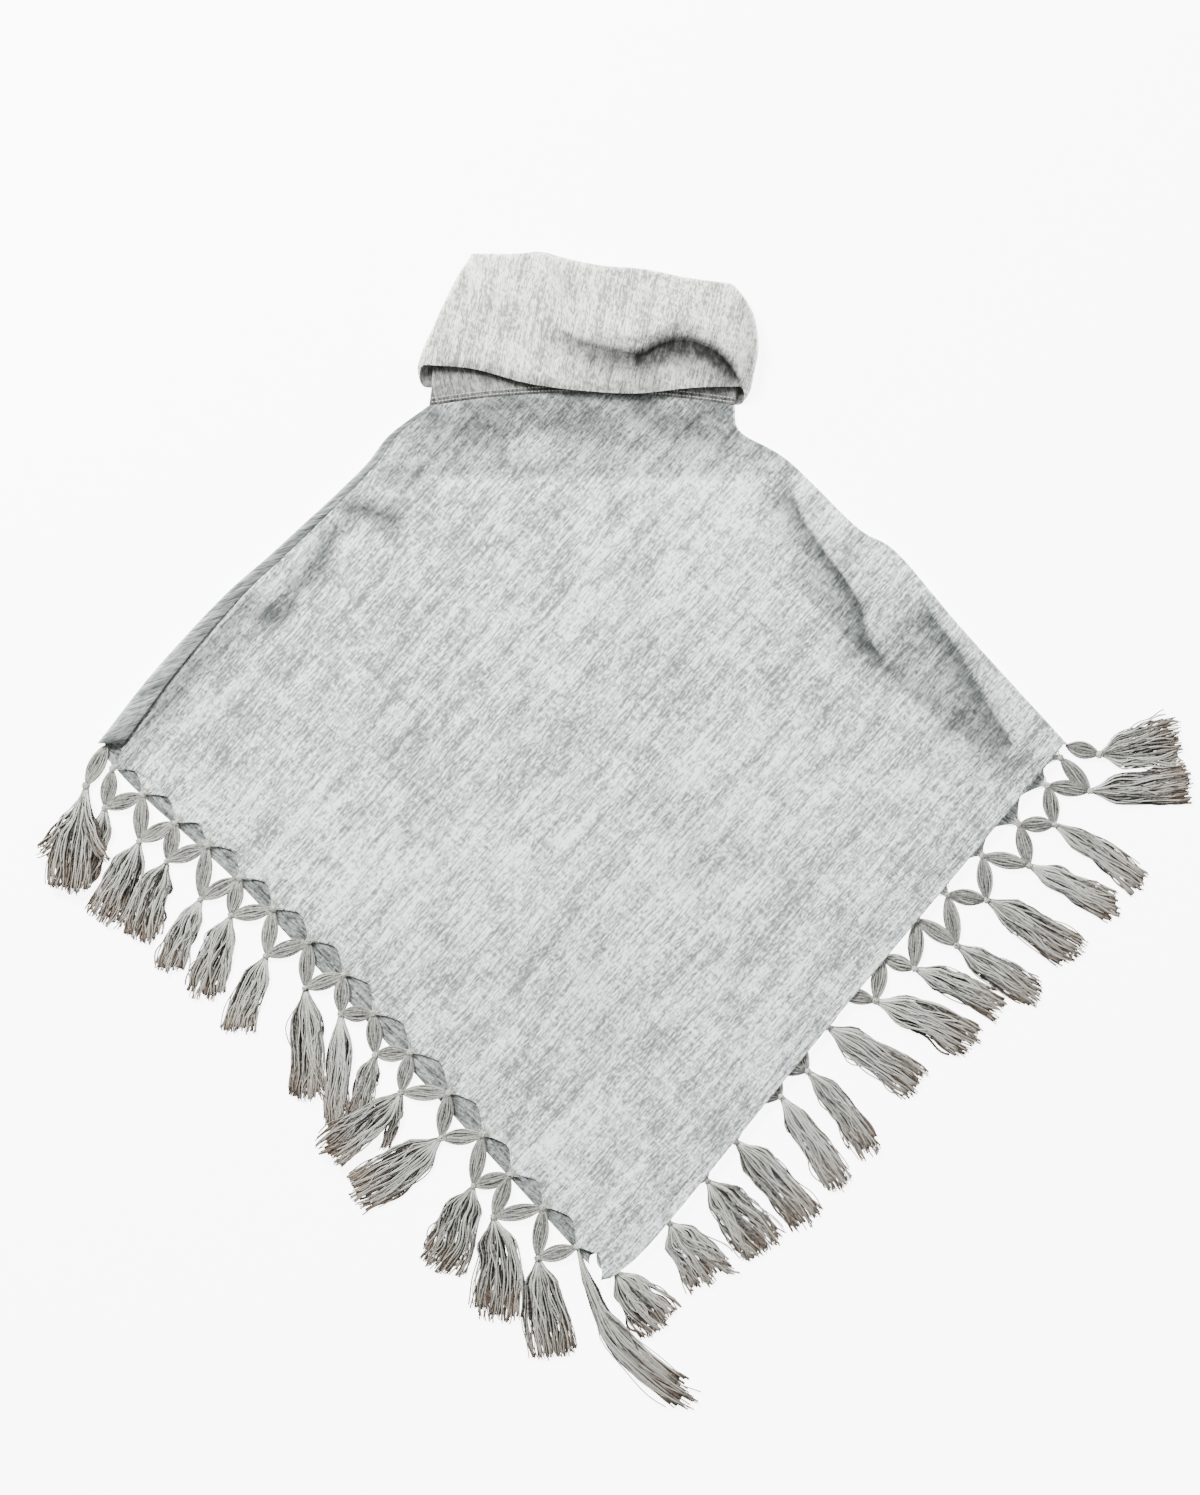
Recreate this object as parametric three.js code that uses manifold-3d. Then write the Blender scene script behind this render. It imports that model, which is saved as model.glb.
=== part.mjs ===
// A woven poncho pullover laid flat: two square panels turned on their corners, a turned-down
// cowl collar, and a knotted fringe with tassels along one lower edge of each panel.
// Millimetres, +Z up. It lies on the XY plane with the neck towards +Y and its front upwards.
import * as THREE from 'three';
import { mergeVertices } from 'three/addons/utils/BufferGeometryUtils.js';
import Module from 'manifold-3d';

const wasm = await Module();
wasm.setup();

// Cloth and layers
const WALL = 1.5;
const SEAM_GAP = 0.6;
const NECK_GAP = 0.7;
const KNOT_GAP = 0.2;
const BACK_LEVEL = WALL / 2;
const FRONT_LEVEL = 3.3;
const FLOOR_CLEARANCE = 0.35;

// Where the cloth is folded at the shoulders: fold radius and width of the strip that wraps round,
// at the neck and at the outer corner. The strip is measured across the garment.
const OVER_WRAP = { neckRadius: 1.3, cornerRadius: 3.9, neckWidth: 5, cornerWidth: 23.5 };
const UNDER_WRAP = { neckRadius: 1.3, cornerRadius: 2.6, neckWidth: 5, cornerWidth: 22 };
const OBLIQUE = Math.SQRT2;

// The neck seam rises this much towards its middle.
const NECK_RISE = 11;

// Scallops of a fringed edge: depth of the notch between two knots, its greatest share of the
// distance between them, and how far a lobe stays from the centre of its knot.
const NOTCH_DEPTH = 12.3;
const NOTCH_SHARE = 0.3;
const LOBE_SETBACK = 4.3;

// Outlines of the laid garment, neck to corner and corner to tip
const LEFT_SHOULDER = [
  [-168, 384], [-205, 356], [-231, 324], [-308, 252],
  [-352, 213], [-414, 146], [-466, 80],
];
const RIGHT_SHOULDER = [[106, 384], [111, 360], [154, 334], [216, 274], [252, 251], [311, 182], [405, 79]];
const FRONT_SELVAGE = [[386, 60], [291, -54], [189, -176], [104, -280], [51, -345], [20, -380], [-5, -400]];
const BACK_SELVAGE = [
  [-458, 66], [-428, 34], [-345, -41],
  [-269, -122], [-174, -225], [-113, -292], [-30, -383],
];
const FRONT_TIP = [-14, -402];
const BACK_TIP = [-24, -389];

// Fringe of the front, corner to tip. edge: the knot at a lobe of the cloth. knot: the lower knot,
// from which the tassel hangs. tip: the middle of the tassel's end. bend: how far the tassel's
// middle lies to the left of the straight line. spread: width of its end. lift: how far it rises
// to lie over its neighbour. stem: where a tassel without a lower knot of the net starts.
const FRONT_FRINGE = [
  {
    edge: [-453, 57], knot: [-477, 42], tip: [-490, -50], bend: -2, spread: 56, lift: 6.5, stem: [-458, 79.2],
  },
  { edge: [-426, 34], knot: [-460, 22], tip: [-481, -44], bend: 3, spread: 20, lift: 0 },
  { edge: [-396, 9], knot: [-429, -8], tip: [-463, -78], bend: 2, spread: 34, lift: 0 },
  { edge: [-368, -12], knot: [-404, -26], tip: [-430, -96], bend: -3, spread: 33, lift: 0 },
  { edge: [-339, -41], knot: [-374, -60], tip: [-403, -126], bend: -2, spread: 24, lift: 0 },
  { edge: [-309, -69], knot: [-347, -75], tip: [-372, -148], bend: -2, spread: 33, lift: 0 },
  { edge: [-277, -98], knot: [-315, -111], tip: [-342, -182], bend: -2, spread: 27, lift: 0 },
  { edge: [-246, -128], knot: [-280, -140], tip: [-281, -241], bend: 2, spread: 32, lift: 0 },
  { edge: [-219, -163], knot: [-248, -163], tip: [-254, -264], bend: 1, spread: 20, lift: 0 },
  { edge: [-186, -198], knot: [-217, -200], tip: [-233, -262], bend: -2, spread: 19, lift: 0 },
  { edge: [-151, -234], knot: [-194, -234], tip: [-262, -289], bend: 2, spread: 32, lift: 6.5 },
  { edge: [-121, -272], knot: [-158, -275], tip: [-236, -327], bend: 2, spread: 40, lift: 0 },
  { edge: [-96, -308], knot: [-129, -318], tip: [-162, -392], bend: 2, spread: 42, lift: 0 },
  { edge: [-66, -337], knot: [-111, -346], tip: [-107, -437], bend: 3, spread: 46, lift: 0 },
  { edge: [-36, -373], knot: [-71, -383], tip: [-54, -476], bend: -2, spread: 43, lift: 0 },
];

// Fringe of the back, corner to tip, with the same columns
const BACK_FRINGE = [
  { edge: [399, 67], knot: [434, 70], tip: [508, 84], bend: -1, spread: 44, lift: 0, stem: [403.8, 77.9] },
  { edge: [387, 42], knot: [426, 37], tip: [518, 46], bend: -2, spread: 32, lift: 0 },
  { edge: [362, 7], knot: [394, 7], tip: [474, -49], bend: 2, spread: 22, lift: 0 },
  { edge: [329, -21], knot: [371, -30], tip: [453, -71], bend: 0, spread: 22, lift: 0 },
  { edge: [297, -56], knot: [333, -61], tip: [415, -110], bend: 1, spread: 32, lift: 0 },
  { edge: [270, -78], knot: [306, -102], tip: [379, -148], bend: 0, spread: 25, lift: 0 },
  { edge: [239, -112], knot: [268, -123], tip: [347, -159], bend: 2, spread: 24, lift: 0 },
  { edge: [197, -142], knot: [233, -152], tip: [322, -190], bend: 3, spread: 33, lift: 0 },
  { edge: [155, -172], knot: [189, -175], tip: [274, -231], bend: 2, spread: 31, lift: 0 },
  { edge: [134, -208], knot: [172, -215], tip: [229, -288], bend: 3, spread: 24, lift: 0 },
  { edge: [110, -236], knot: [148, -238], tip: [203, -320], bend: 0, spread: 26, lift: 0 },
  { edge: [70, -272], knot: [107, -278], tip: [173, -352], bend: 2, spread: 34, lift: 0 },
  { edge: [43, -308], knot: [81, -313], tip: [136, -376], bend: 0, spread: 42, lift: 0 },
  { edge: [10, -344], knot: [47, -351], tip: [87, -403], bend: 0, spread: 46, lift: 0 },
];

// The last tassel of each fringe hangs from its edge knot alone.
const FRONT_LAST = { edge: [-36, -373], tip: [65, -508], bend: -19, spread: 26, lift: 0 };
const BACK_LAST = {
  edge: [-15, -379], knot: [-2, -395], tip: [44, -447], bend: 0, spread: 42, lift: 0, stem: [-17, -377],
};

// Knots and the leaf-shaped legs between them
const KNOT = { across: 3.8, frontHeight: 2.4, backHeight: 2.1, frontTurn: 0.3, backTurn: 0.6 };
const LEG = { width: 13, frontThickness: 4.4, backThickness: 3.6, sides: 4 };
// Sections of a leg: place along it and size, as shares of its length and its full section
const LEG_SECTIONS = [
  { at: 0.18, size: 0.68 },
  { at: 0.5, size: 1 },
  { at: 0.82, size: 0.68 },
];
const FRONT_EDGE_KNOT_LEVEL = 4.7;
const STEM = { width: 16, thickness: 2.3 };

// Tassels: locks in each, the stations along them as fractions of the length, and their heights.
// The head's width is headWidth plus headShare of the end's spread, and its bulge bulgeShare of
// that. A lock fills splitFill of its cell where it leaves the head, middleFill at the middle and
// endFill at its end. lockSway moves its middle aside, and endUneven and endRound cut the ends
// unevenly and as an arc. Locks differ in height by heightUneven, and their undersides stand up
// to twice bottomUneven above the floor's clearance.
const LOCKS = 7;
const TASSEL = {
  bulgeAt: 0.11, splitAt: 0.26, middleAt: 0.64, endAt: 1.02, liftFrom: 0.05, liftOver: 0.2,
  rootWidth: 5.2, headWidth: 4, headShare: 0.58, bulgeShare: 0.8,
  rootHeight: 3.4, bulgeHeight: 5.6, splitHeight: 5.2, middleHeight: 4, endHeight: 2.6,
  splitFill: 0.8, middleFill: 0.76, endFill: 0.7, lockSway: 0.07, endUneven: 0.045, endRound: 0.012,
  heightUneven: 0.12, bottomUneven: 0.25,
};
// Steps of the sines that make the locks uneven, from one lock to the next
const SWAY_STEP = 2.4;
const END_STEP = 1.9;
const HEAP_STEP = 2.9;
const FLOOR_STEP = 1.3;

// Soft folds of the front: a ridge runs from start to end. width: half width. height: its rise.
// A ridge fades at each end over this share of its length.
const FOLD_FADE = 0.25;
const FRONT_FOLDS = [
  { name: 'below the collar', start: [-150, 364], end: [92, 366], width: 13, height: 3 },
  { name: 'chest', start: [-150, 303], end: [125, 298], width: 22, height: 2 },
  { name: 'right shoulder outer', start: [172, 296], end: [262, 146], width: 11, height: 5 },
  { name: 'right shoulder inner', start: [146, 286], end: [232, 146], width: 15, height: 2.6 },
  { name: 'right edge band', start: [292, 194], end: [392, 66], width: 9, height: 4 },
  { name: 'beside the edge band', start: [262, 186], end: [356, 52], width: 15, height: 3 },
  { name: 'right chest', start: [196, 172], end: [322, 46], width: 16, height: 1.8 },
  { name: 'left shoulder', start: [-262, 268], end: [-330, 192], width: 12, height: 2.6 },
  { name: 'left chest', start: [-190, 330], end: [-120, 322], width: 12, height: 2 },
];

// Rows and columns of the panels
const SHOULDER_ROWS = 10;
const FRONT_COLUMNS = [0, 0.05, 0.12, 0.22, 0.34, 0.46, 0.58, 0.68, 0.76, 0.82, 0.87, 0.91, 0.945, 0.975, 1];
const BACK_COLUMNS = [0, 0.06, 0.2, 0.35, 0.5, 0.65, 0.8, 0.94, 1];
const FOLD_ANGLES = [45, 90, 135, 180];
const EDGE_PLATEAU = 52;
const EDGE_SLOPE = 60;
const EDGE_CALM = 14;

// Collar: one row for each ring, from the neck seam up the stand, over the top and down to the
// free edge. left and right: its ends. yLeft, yMiddle, yRight: its height in the photograph's
// upright direction. front and back: level of the upper and the lower layer.
const COLLAR_RINGS = [
  { name: 'neck seam', left: -168, right: 106, yLeft: 384, yMiddle: 395, yRight: 384, front: 3.3, back: 0.75 },
  { name: 'low stand', left: -166, right: 107, yLeft: 399, yMiddle: 408, yRight: 399, front: 5.7, back: 3.1 },
  { name: 'middle stand', left: -160, right: 112, yLeft: 440, yMiddle: 455, yRight: 436, front: 6, back: 3.4 },
  { name: 'high stand', left: -131, right: 106, yLeft: 511, yMiddle: 501, yRight: 483, front: 6, back: 3.4 },
  { name: 'top fold', left: -130, right: 106, yLeft: 519, yMiddle: 509, yRight: 491, front: 8, back: 2.1 },
  { name: 'over top', left: -133, right: 110, yLeft: 511, yMiddle: 501, yRight: 483, front: 10.5, back: 0.75 },
  { name: 'upper', left: -150, right: 122, yLeft: 478, yMiddle: 472, yRight: 458, front: 13, back: 0.75 },
  { name: 'middle', left: -166, right: 125, yLeft: 447, yMiddle: 446, yRight: 436, front: 14, back: 0.75 },
  { name: 'lower', left: -178, right: 123, yLeft: 426, yMiddle: 420, yRight: 418, front: 15, back: 0.75 },
  { name: 'roll', left: -179, right: 120, yLeft: 413, yMiddle: 403, yRight: 402, front: 14, back: 0.75 },
  { name: 'free edge', left: -176, right: 116, yLeft: 410, yMiddle: 397, yRight: 397, front: 9.6, back: 0.75 },
];
const COLLAR_TOP_RING = 4;
const COLLAR_FRONT_COLUMNS = 13;
const COLLAR_BACK_COLUMNS = 9;
const COLLAR_END_ANGLES = [-60, -20, 20, 60];
// The collar's folds begin this share of its width from its ends.
const COLLAR_FOLD_INSET = 1 / 6;

// Folds of the turned-down front of the collar: the cowl's crease and the bulge below it
const COLLAR_FOLDS = [
  { name: 'cowl crease, left', start: [-45, 448], end: [28, 437], width: 9, height: -4 },
  { name: 'cowl crease, right', start: [28, 438], end: [112, 422], width: 9, height: -6 },
  { name: 'bulge over the crease', start: [-20, 466], end: [100, 462], width: 14, height: 3 },
  { name: 'bulge under the crease', start: [-50, 414], end: [108, 410], width: 12, height: 4 },
];

// Materials, as colour, roughness and metalness
const CLOTH = { color: 0xc3c9c8, roughness: 0.92, metalness: 0 };
const COLLAR_CLOTH = { color: 0xc6cac8, roughness: 0.92, metalness: 0 };
const FRINGE_YARN = { color: 0xb0aeaa, roughness: 0.95, metalness: 0 };

// A smooth curve through points of the plan, read by its fraction of length
function planCurve(points) {
  const places = points.map(([x, y]) => new THREE.Vector3(x, y, 0));
  return new THREE.CatmullRomCurve3(places, false, 'catmullrom', 0.5);
}

const lerp = THREE.MathUtils.lerp;
const smooth = (value) => THREE.MathUtils.smoothstep(value, 0, 1);

// The rise of a set of soft ridges at a point of the plan. Across, a ridge falls off as a bell;
// along, it fades at each end.
function foldRise(folds, x, y) {
  let rise = 0;
  for (const { start, end, width, height } of folds) {
    const [dx, dy] = [end[0] - start[0], end[1] - start[1]];
    const length = Math.hypot(dx, dy);
    const along = ((x - start[0]) * dx + (y - start[1]) * dy) / length ** 2;
    const across = ((x - start[0]) * dy - (y - start[1]) * dx) / length;
    const fade = smooth(along / FOLD_FADE + 0.5) * smooth((1 - along) / FOLD_FADE + 0.5);
    rise += height * fade * Math.exp(-((across / width) ** 2));
  }
  return rise;
}

// A closed body from a list of triangles, each three points, turned right side out
function solid(triangles) {
  const geometry = new THREE.BufferGeometry();
  const coordinates = triangles.flatMap((corners) => corners.flatMap((p) => [p.x, p.y, p.z]));
  geometry.setAttribute('position', new THREE.Float32BufferAttribute(coordinates, 3));
  const merged = mergeVertices(geometry, 1e-4);
  const at = merged.getAttribute('position');
  const index = merged.getIndex().array;
  const [a, b, c] = [new THREE.Vector3(), new THREE.Vector3(), new THREE.Vector3()];
  let volume = 0;
  for (let i = 0; i < index.length; i += 3) {
    a.fromBufferAttribute(at, index[i]);
    b.fromBufferAttribute(at, index[i + 1]);
    c.fromBufferAttribute(at, index[i + 2]);
    volume += a.dot(b.cross(c));
  }
  if (volume < 0) {
    for (let i = 0; i < index.length; i += 3) {
      [index[i + 1], index[i + 2]] = [index[i + 2], index[i + 1]];
    }
  }
  return merged;
}

// A cloth wall round a middle surface. points: its vertices. faces: its triangles as indices.
// Both sides lie half a wall off along the vertex normals, and every open edge is closed.
function clothWall(points, faces) {
  const normals = points.map(() => new THREE.Vector3());
  const open = new Map();
  for (const [i, j, k] of faces) {
    const side = points[j].clone().sub(points[i]);
    const normal = side.cross(points[k].clone().sub(points[i]));
    for (const corner of [i, j, k]) normals[corner].add(normal);
    for (const [from, to] of [[i, j], [j, k], [k, i]]) {
      const back = `${to} ${from}`;
      if (open.has(back)) open.delete(back);
      else open.set(`${from} ${to}`, [from, to]);
    }
  }
  const upper = points.map((p, i) => p.clone().addScaledVector(normals[i].normalize(), WALL / 2));
  const lower = points.map((p, i) => p.clone().addScaledVector(normals[i], -WALL / 2));
  const triangles = [];
  for (const [i, j, k] of faces) {
    triangles.push([upper[i], upper[j], upper[k]], [lower[i], lower[k], lower[j]]);
  }
  for (const [from, to] of open.values()) {
    triangles.push([upper[from], lower[from], lower[to]], [upper[from], lower[to], upper[to]]);
  }
  return solid(triangles);
}

// The two triangles of each cell between neighbouring rows of indices
function stitchRows(rows, faces) {
  for (let r = 0; r + 1 < rows.length; r += 1) {
    for (let c = 0; c + 1 < rows[r].length; c += 1) {
      const [a, b, d, e] = [rows[r][c], rows[r][c + 1], rows[r + 1][c], rows[r + 1][c + 1]];
      faces.push([a, d, b], [b, d, e]);
    }
  }
}

// Stations of a scalloped edge: each lobe, drawn back from its knot, and the notch after it
function scallopedEdge(knots, tip) {
  const stops = [...knots, tip];
  const stations = [];
  for (let i = 0; i + 1 < stops.length; i += 1) {
    const [[x0, y0], [x1, y1]] = [stops[i], stops[i + 1]];
    const chord = Math.hypot(x1 - x0, y1 - y0);
    const inward = [-(y1 - y0) / chord, (x1 - x0) / chord];
    const side = inward[1] > 0 ? 1 : -1;
    const depth = Math.min(NOTCH_DEPTH, NOTCH_SHARE * chord) * side;
    stations.push([x0 + inward[0] * LOBE_SETBACK * side, y0 + inward[1] * LOBE_SETBACK * side]);
    stations.push([(x0 + x1) / 2 + inward[0] * depth, (y0 + y1) / 2 + inward[1] * depth]);
  }
  stations.push(tip);
  return stations;
}

const wrapRadius = (wrap, s) => lerp(wrap.neckRadius, wrap.cornerRadius, s);
const wrapWidth = (wrap, s) => lerp(wrap.neckWidth, wrap.cornerWidth, s);

// One panel. Rows run across the garment from its seam and fringed side to its wrapped and
// selvage side. Down to the corner a row ends in the fold and the strip that wraps round.
function panel(cut) {
  const { seamOutline, wrapOutline, seamWrap, wrap, knots, tip, selvage, columns, level, stripLevel } = cut;
  const seamSide = planCurve(seamOutline);
  const wrapSide = planCurve(wrapOutline);
  const plainSide = planCurve(selvage);
  const towardsWrap = Math.sign(wrapOutline[0][0] - seamOutline[0][0]);
  const points = [];
  const faces = [];
  const mainRows = [];
  const stripRows = [];
  const keep = (x, y, z) => points.push(new THREE.Vector3(x, y, z)) - 1;

  for (let r = 0; r <= SHOULDER_ROWS; r += 1) {
    const s = r / SHOULDER_ROWS;
    const start = seamSide.getPointAt(s);
    const end = wrapSide.getPointAt(s);
    const radius = wrapRadius(wrap, s);
    const turned = radius * OBLIQUE * towardsWrap;
    const outer = end.x;
    const across = (x) => (x - start.x) / (outer - start.x);
    const rise = NECK_RISE * (1 - s) ** 2;
    const upright = (x) => lerp(start.y, end.y, across(x)) + rise * 4 * across(x) * (1 - across(x));
    const inner = start.x + (wrapWidth(seamWrap, s) + SEAM_GAP) * towardsWrap;
    end.x -= turned;
    const row = columns.map((f) => {
      const x = lerp(inner, end.x, f);
      const y = upright(x);
      const span = Math.abs(end.x - inner);
      return keep(x, y, level(x, y, f * span, (1 - f) * span, s));
    });
    mainRows.push(row);
    const from = points[row[row.length - 1]].z;
    const turn = from > BACK_LEVEL + radius ? -1 : 1;
    const strip = [row[row.length - 1]];
    for (const degrees of FOLD_ANGLES) {
      const angle = THREE.MathUtils.degToRad(degrees);
      const x = end.x + turned * Math.sin(angle);
      strip.push(keep(x, upright(x), from + turn * radius * (1 - Math.cos(angle))));
    }
    const edge = outer - wrapWidth(wrap, s) * towardsWrap;
    strip.push(keep(edge, upright(edge), stripLevel));
    stripRows.push(strip);
  }

  const hem = scallopedEdge(knots, tip);
  hem.forEach(([startX, startY], r) => {
    const end = plainSide.getPointAt(r / (hem.length - 1));
    mainRows.push(columns.map((f) => {
      const x = lerp(startX, end.x, f);
      const y = lerp(startY, end.y, f);
      const span = Math.abs(end.x - startX);
      return keep(x, y, level(x, y, f * span, (1 - f) * span, 1));
    }));
  });

  stitchRows(mainRows, faces);
  stitchRows(stripRows, faces);
  return clothWall(points, faces);
}

// Level of the front at a point of the plan: it rises at the right edge to the top of the fold
// there, and along the selvage to clear the knots of the back's fringe, and has its soft folds.
function frontLevel(x, y, fromSeam, fromEdge, s) {
  const edge = BACK_LEVEL + 2 * wrapRadius(UNDER_WRAP, s);
  const near = 1 - smooth((fromEdge - EDGE_PLATEAU * s) / EDGE_SLOPE);
  const soft = foldRise(FRONT_FOLDS, x, y) * smooth(fromSeam / EDGE_CALM) * smooth(fromEdge / EDGE_CALM);
  return lerp(FRONT_LEVEL, edge, near) + soft;
}

// The collar: rings of the middle surface, each a flattened loop of an upper and a lower layer
// joined by round ends
function collar() {
  const points = [];
  const rows = COLLAR_RINGS.map((ring, number) => {
    const { left, right, yLeft, yMiddle, yRight, front, back } = ring;
    const radius = (front - back) / 2;
    const middle = (front + back) / 2;
    const seamGap = number === 0 ? NECK_GAP : 0;
    const bow = yMiddle - (yLeft + yRight) / 2;
    const upright = (f) => lerp(yLeft, yRight, f) + bow * 4 * f * (1 - f) + seamGap;
    const place = (x, z, turned) => {
      const f = (x - left) / (right - left);
      const y = upright(f);
      const rise = number > COLLAR_TOP_RING ? foldRise(COLLAR_FOLDS, x, y) : 0;
      return points.push(new THREE.Vector3(x, y, z + (turned > 0 ? rise * turned : 0))) - 1;
    };
    const row = [];
    for (let c = 0; c < COLLAR_FRONT_COLUMNS; c += 1) {
      const f = c / (COLLAR_FRONT_COLUMNS - 1);
      const inset = smooth(Math.min(f, 1 - f) / COLLAR_FOLD_INSET);
      row.push(place(lerp(left + radius, right - radius, f), front, inset));
    }
    for (const degrees of [...COLLAR_END_ANGLES].reverse()) {
      const angle = THREE.MathUtils.degToRad(degrees);
      row.push(place(right - radius + radius * Math.cos(angle), middle + radius * Math.sin(angle), 0));
    }
    for (let c = 0; c < COLLAR_BACK_COLUMNS; c += 1) {
      const f = c / (COLLAR_BACK_COLUMNS - 1);
      row.push(place(lerp(right - radius, left + radius, f), back, 0));
    }
    for (const degrees of COLLAR_END_ANGLES) {
      const angle = THREE.MathUtils.degToRad(degrees);
      row.push(place(left + radius - radius * Math.cos(angle), middle + radius * Math.sin(angle), 0));
    }
    row.push(row[0]);
    return row;
  });
  const faces = [];
  stitchRows(rows, faces);
  return clothWall(points, faces);
}

// A body for joining, from a closed geometry
function manifoldOf(geometry) {
  const bare = geometry.clone();
  bare.deleteAttribute('normal');
  bare.deleteAttribute('uv');
  const merged = mergeVertices(bare, 1e-4);
  return new wasm.Manifold(new wasm.Mesh({
    numProp: 3,
    vertProperties: merged.getAttribute('position').array,
    triVerts: new Uint32Array(merged.getIndex().array),
  }));
}

// One closed geometry from touching ones
function joined(geometries) {
  let whole = manifoldOf(geometries[0]);
  for (const geometry of geometries.slice(1)) whole = whole.add(manifoldOf(geometry));
  const mesh = whole.getMesh();
  const geometry = new THREE.BufferGeometry();
  geometry.setAttribute('position', new THREE.Float32BufferAttribute(mesh.vertProperties, 3));
  geometry.setIndex(new THREE.Uint32BufferAttribute(mesh.triVerts, 1));
  return geometry;
}

// A leaf-shaped leg of warp between two knots, pointed at both ends
function leg(start, end, width, thickness) {
  const along = end.clone().sub(start);
  const across = new THREE.Vector3(-along.y, along.x, 0).normalize();
  const rings = LEG_SECTIONS.map(({ at, size }) => {
    const centre = start.clone().addScaledVector(along, at);
    return Array.from({ length: LEG.sides }, (_, i) => {
      const angle = (2 * Math.PI * i) / LEG.sides;
      const point = centre.clone().addScaledVector(across, (Math.cos(angle) * size * width) / 2);
      point.z += (Math.sin(angle) * size * thickness) / 2;
      return point;
    });
  });
  const triangles = [];
  for (let i = 0; i < LEG.sides; i += 1) {
    const j = (i + 1) % LEG.sides;
    triangles.push([start, rings[0][i], rings[0][j]]);
    for (let r = 0; r + 1 < rings.length; r += 1) {
      triangles.push([rings[r][i], rings[r + 1][i], rings[r + 1][j]]);
      triangles.push([rings[r][i], rings[r + 1][j], rings[r][j]]);
    }
    triangles.push([end, rings[rings.length - 1][j], rings[rings.length - 1][i]]);
  }
  return solid(triangles);
}

// A knot, as a small flattened ball, turned so that no edge of it runs along a leg
function knotBall(centre, height, turn) {
  const ball = new THREE.IcosahedronGeometry(1, 0);
  ball.rotateZ(turn);
  ball.scale(KNOT.across, KNOT.across, height);
  ball.translate(centre.x, centre.y, centre.z);
  return ball;
}

// The knotted part of a fringe: edge knots, lower knots, and the two legs of each edge knot.
// The first row's tassel hangs from its own stem, so its lower knot is left out.
function net(fringe, edgeLevel, height, thickness, turn) {
  const floorLevel = FLOOR_CLEARANCE + height;
  const edges = fringe.map(({ edge: [x, y] }) => new THREE.Vector3(x, y, edgeLevel));
  const lowers = fringe.map(({ knot: [x, y] }) => new THREE.Vector3(x, y, floorLevel));
  const bodies = [];
  edges.forEach((edge, i) => {
    bodies.push(knotBall(edge, height, turn));
    if (i > 0) {
      bodies.push(knotBall(lowers[i], height, turn));
      bodies.push(leg(edge, lowers[i], LEG.width, thickness));
    }
    if (i + 1 < lowers.length) bodies.push(leg(edge, lowers[i + 1], LEG.width, thickness));
  });
  return joined(bodies);
}

// The twisted stem of a tassel that hangs beside the net: pointed at its start, widest halfway,
// and drawn in to the root's four corners
function stemTriangles(root, [x, y], rootCorners) {
  const start = new THREE.Vector3(x, y, root.z);
  const along = root.clone().sub(start);
  const across = new THREE.Vector3(-along.y, along.x, 0).normalize();
  const rings = LEG_SECTIONS.map(({ at, size }) => {
    const centre = start.clone().addScaledVector(along, at);
    return [[-1, -1], [-1, 1], [1, 1], [1, -1]].map(([side, top]) => {
      const corner = centre.clone().addScaledVector(across, (side * size * STEM.width) / 2);
      corner.z += (top * size * STEM.thickness) / 2;
      return corner;
    });
  });
  rings.push(rootCorners);
  const triangles = [];
  for (let i = 0; i < rootCorners.length; i += 1) {
    const j = (i + 1) % rootCorners.length;
    triangles.push([start, rings[0][i], rings[0][j]]);
    for (let r = 0; r + 1 < rings.length; r += 1) {
      triangles.push([rings[r][i], rings[r + 1][i], rings[r + 1][j]]);
      triangles.push([rings[r][i], rings[r + 1][j], rings[r][j]]);
    }
  }
  return triangles;
}

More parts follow.
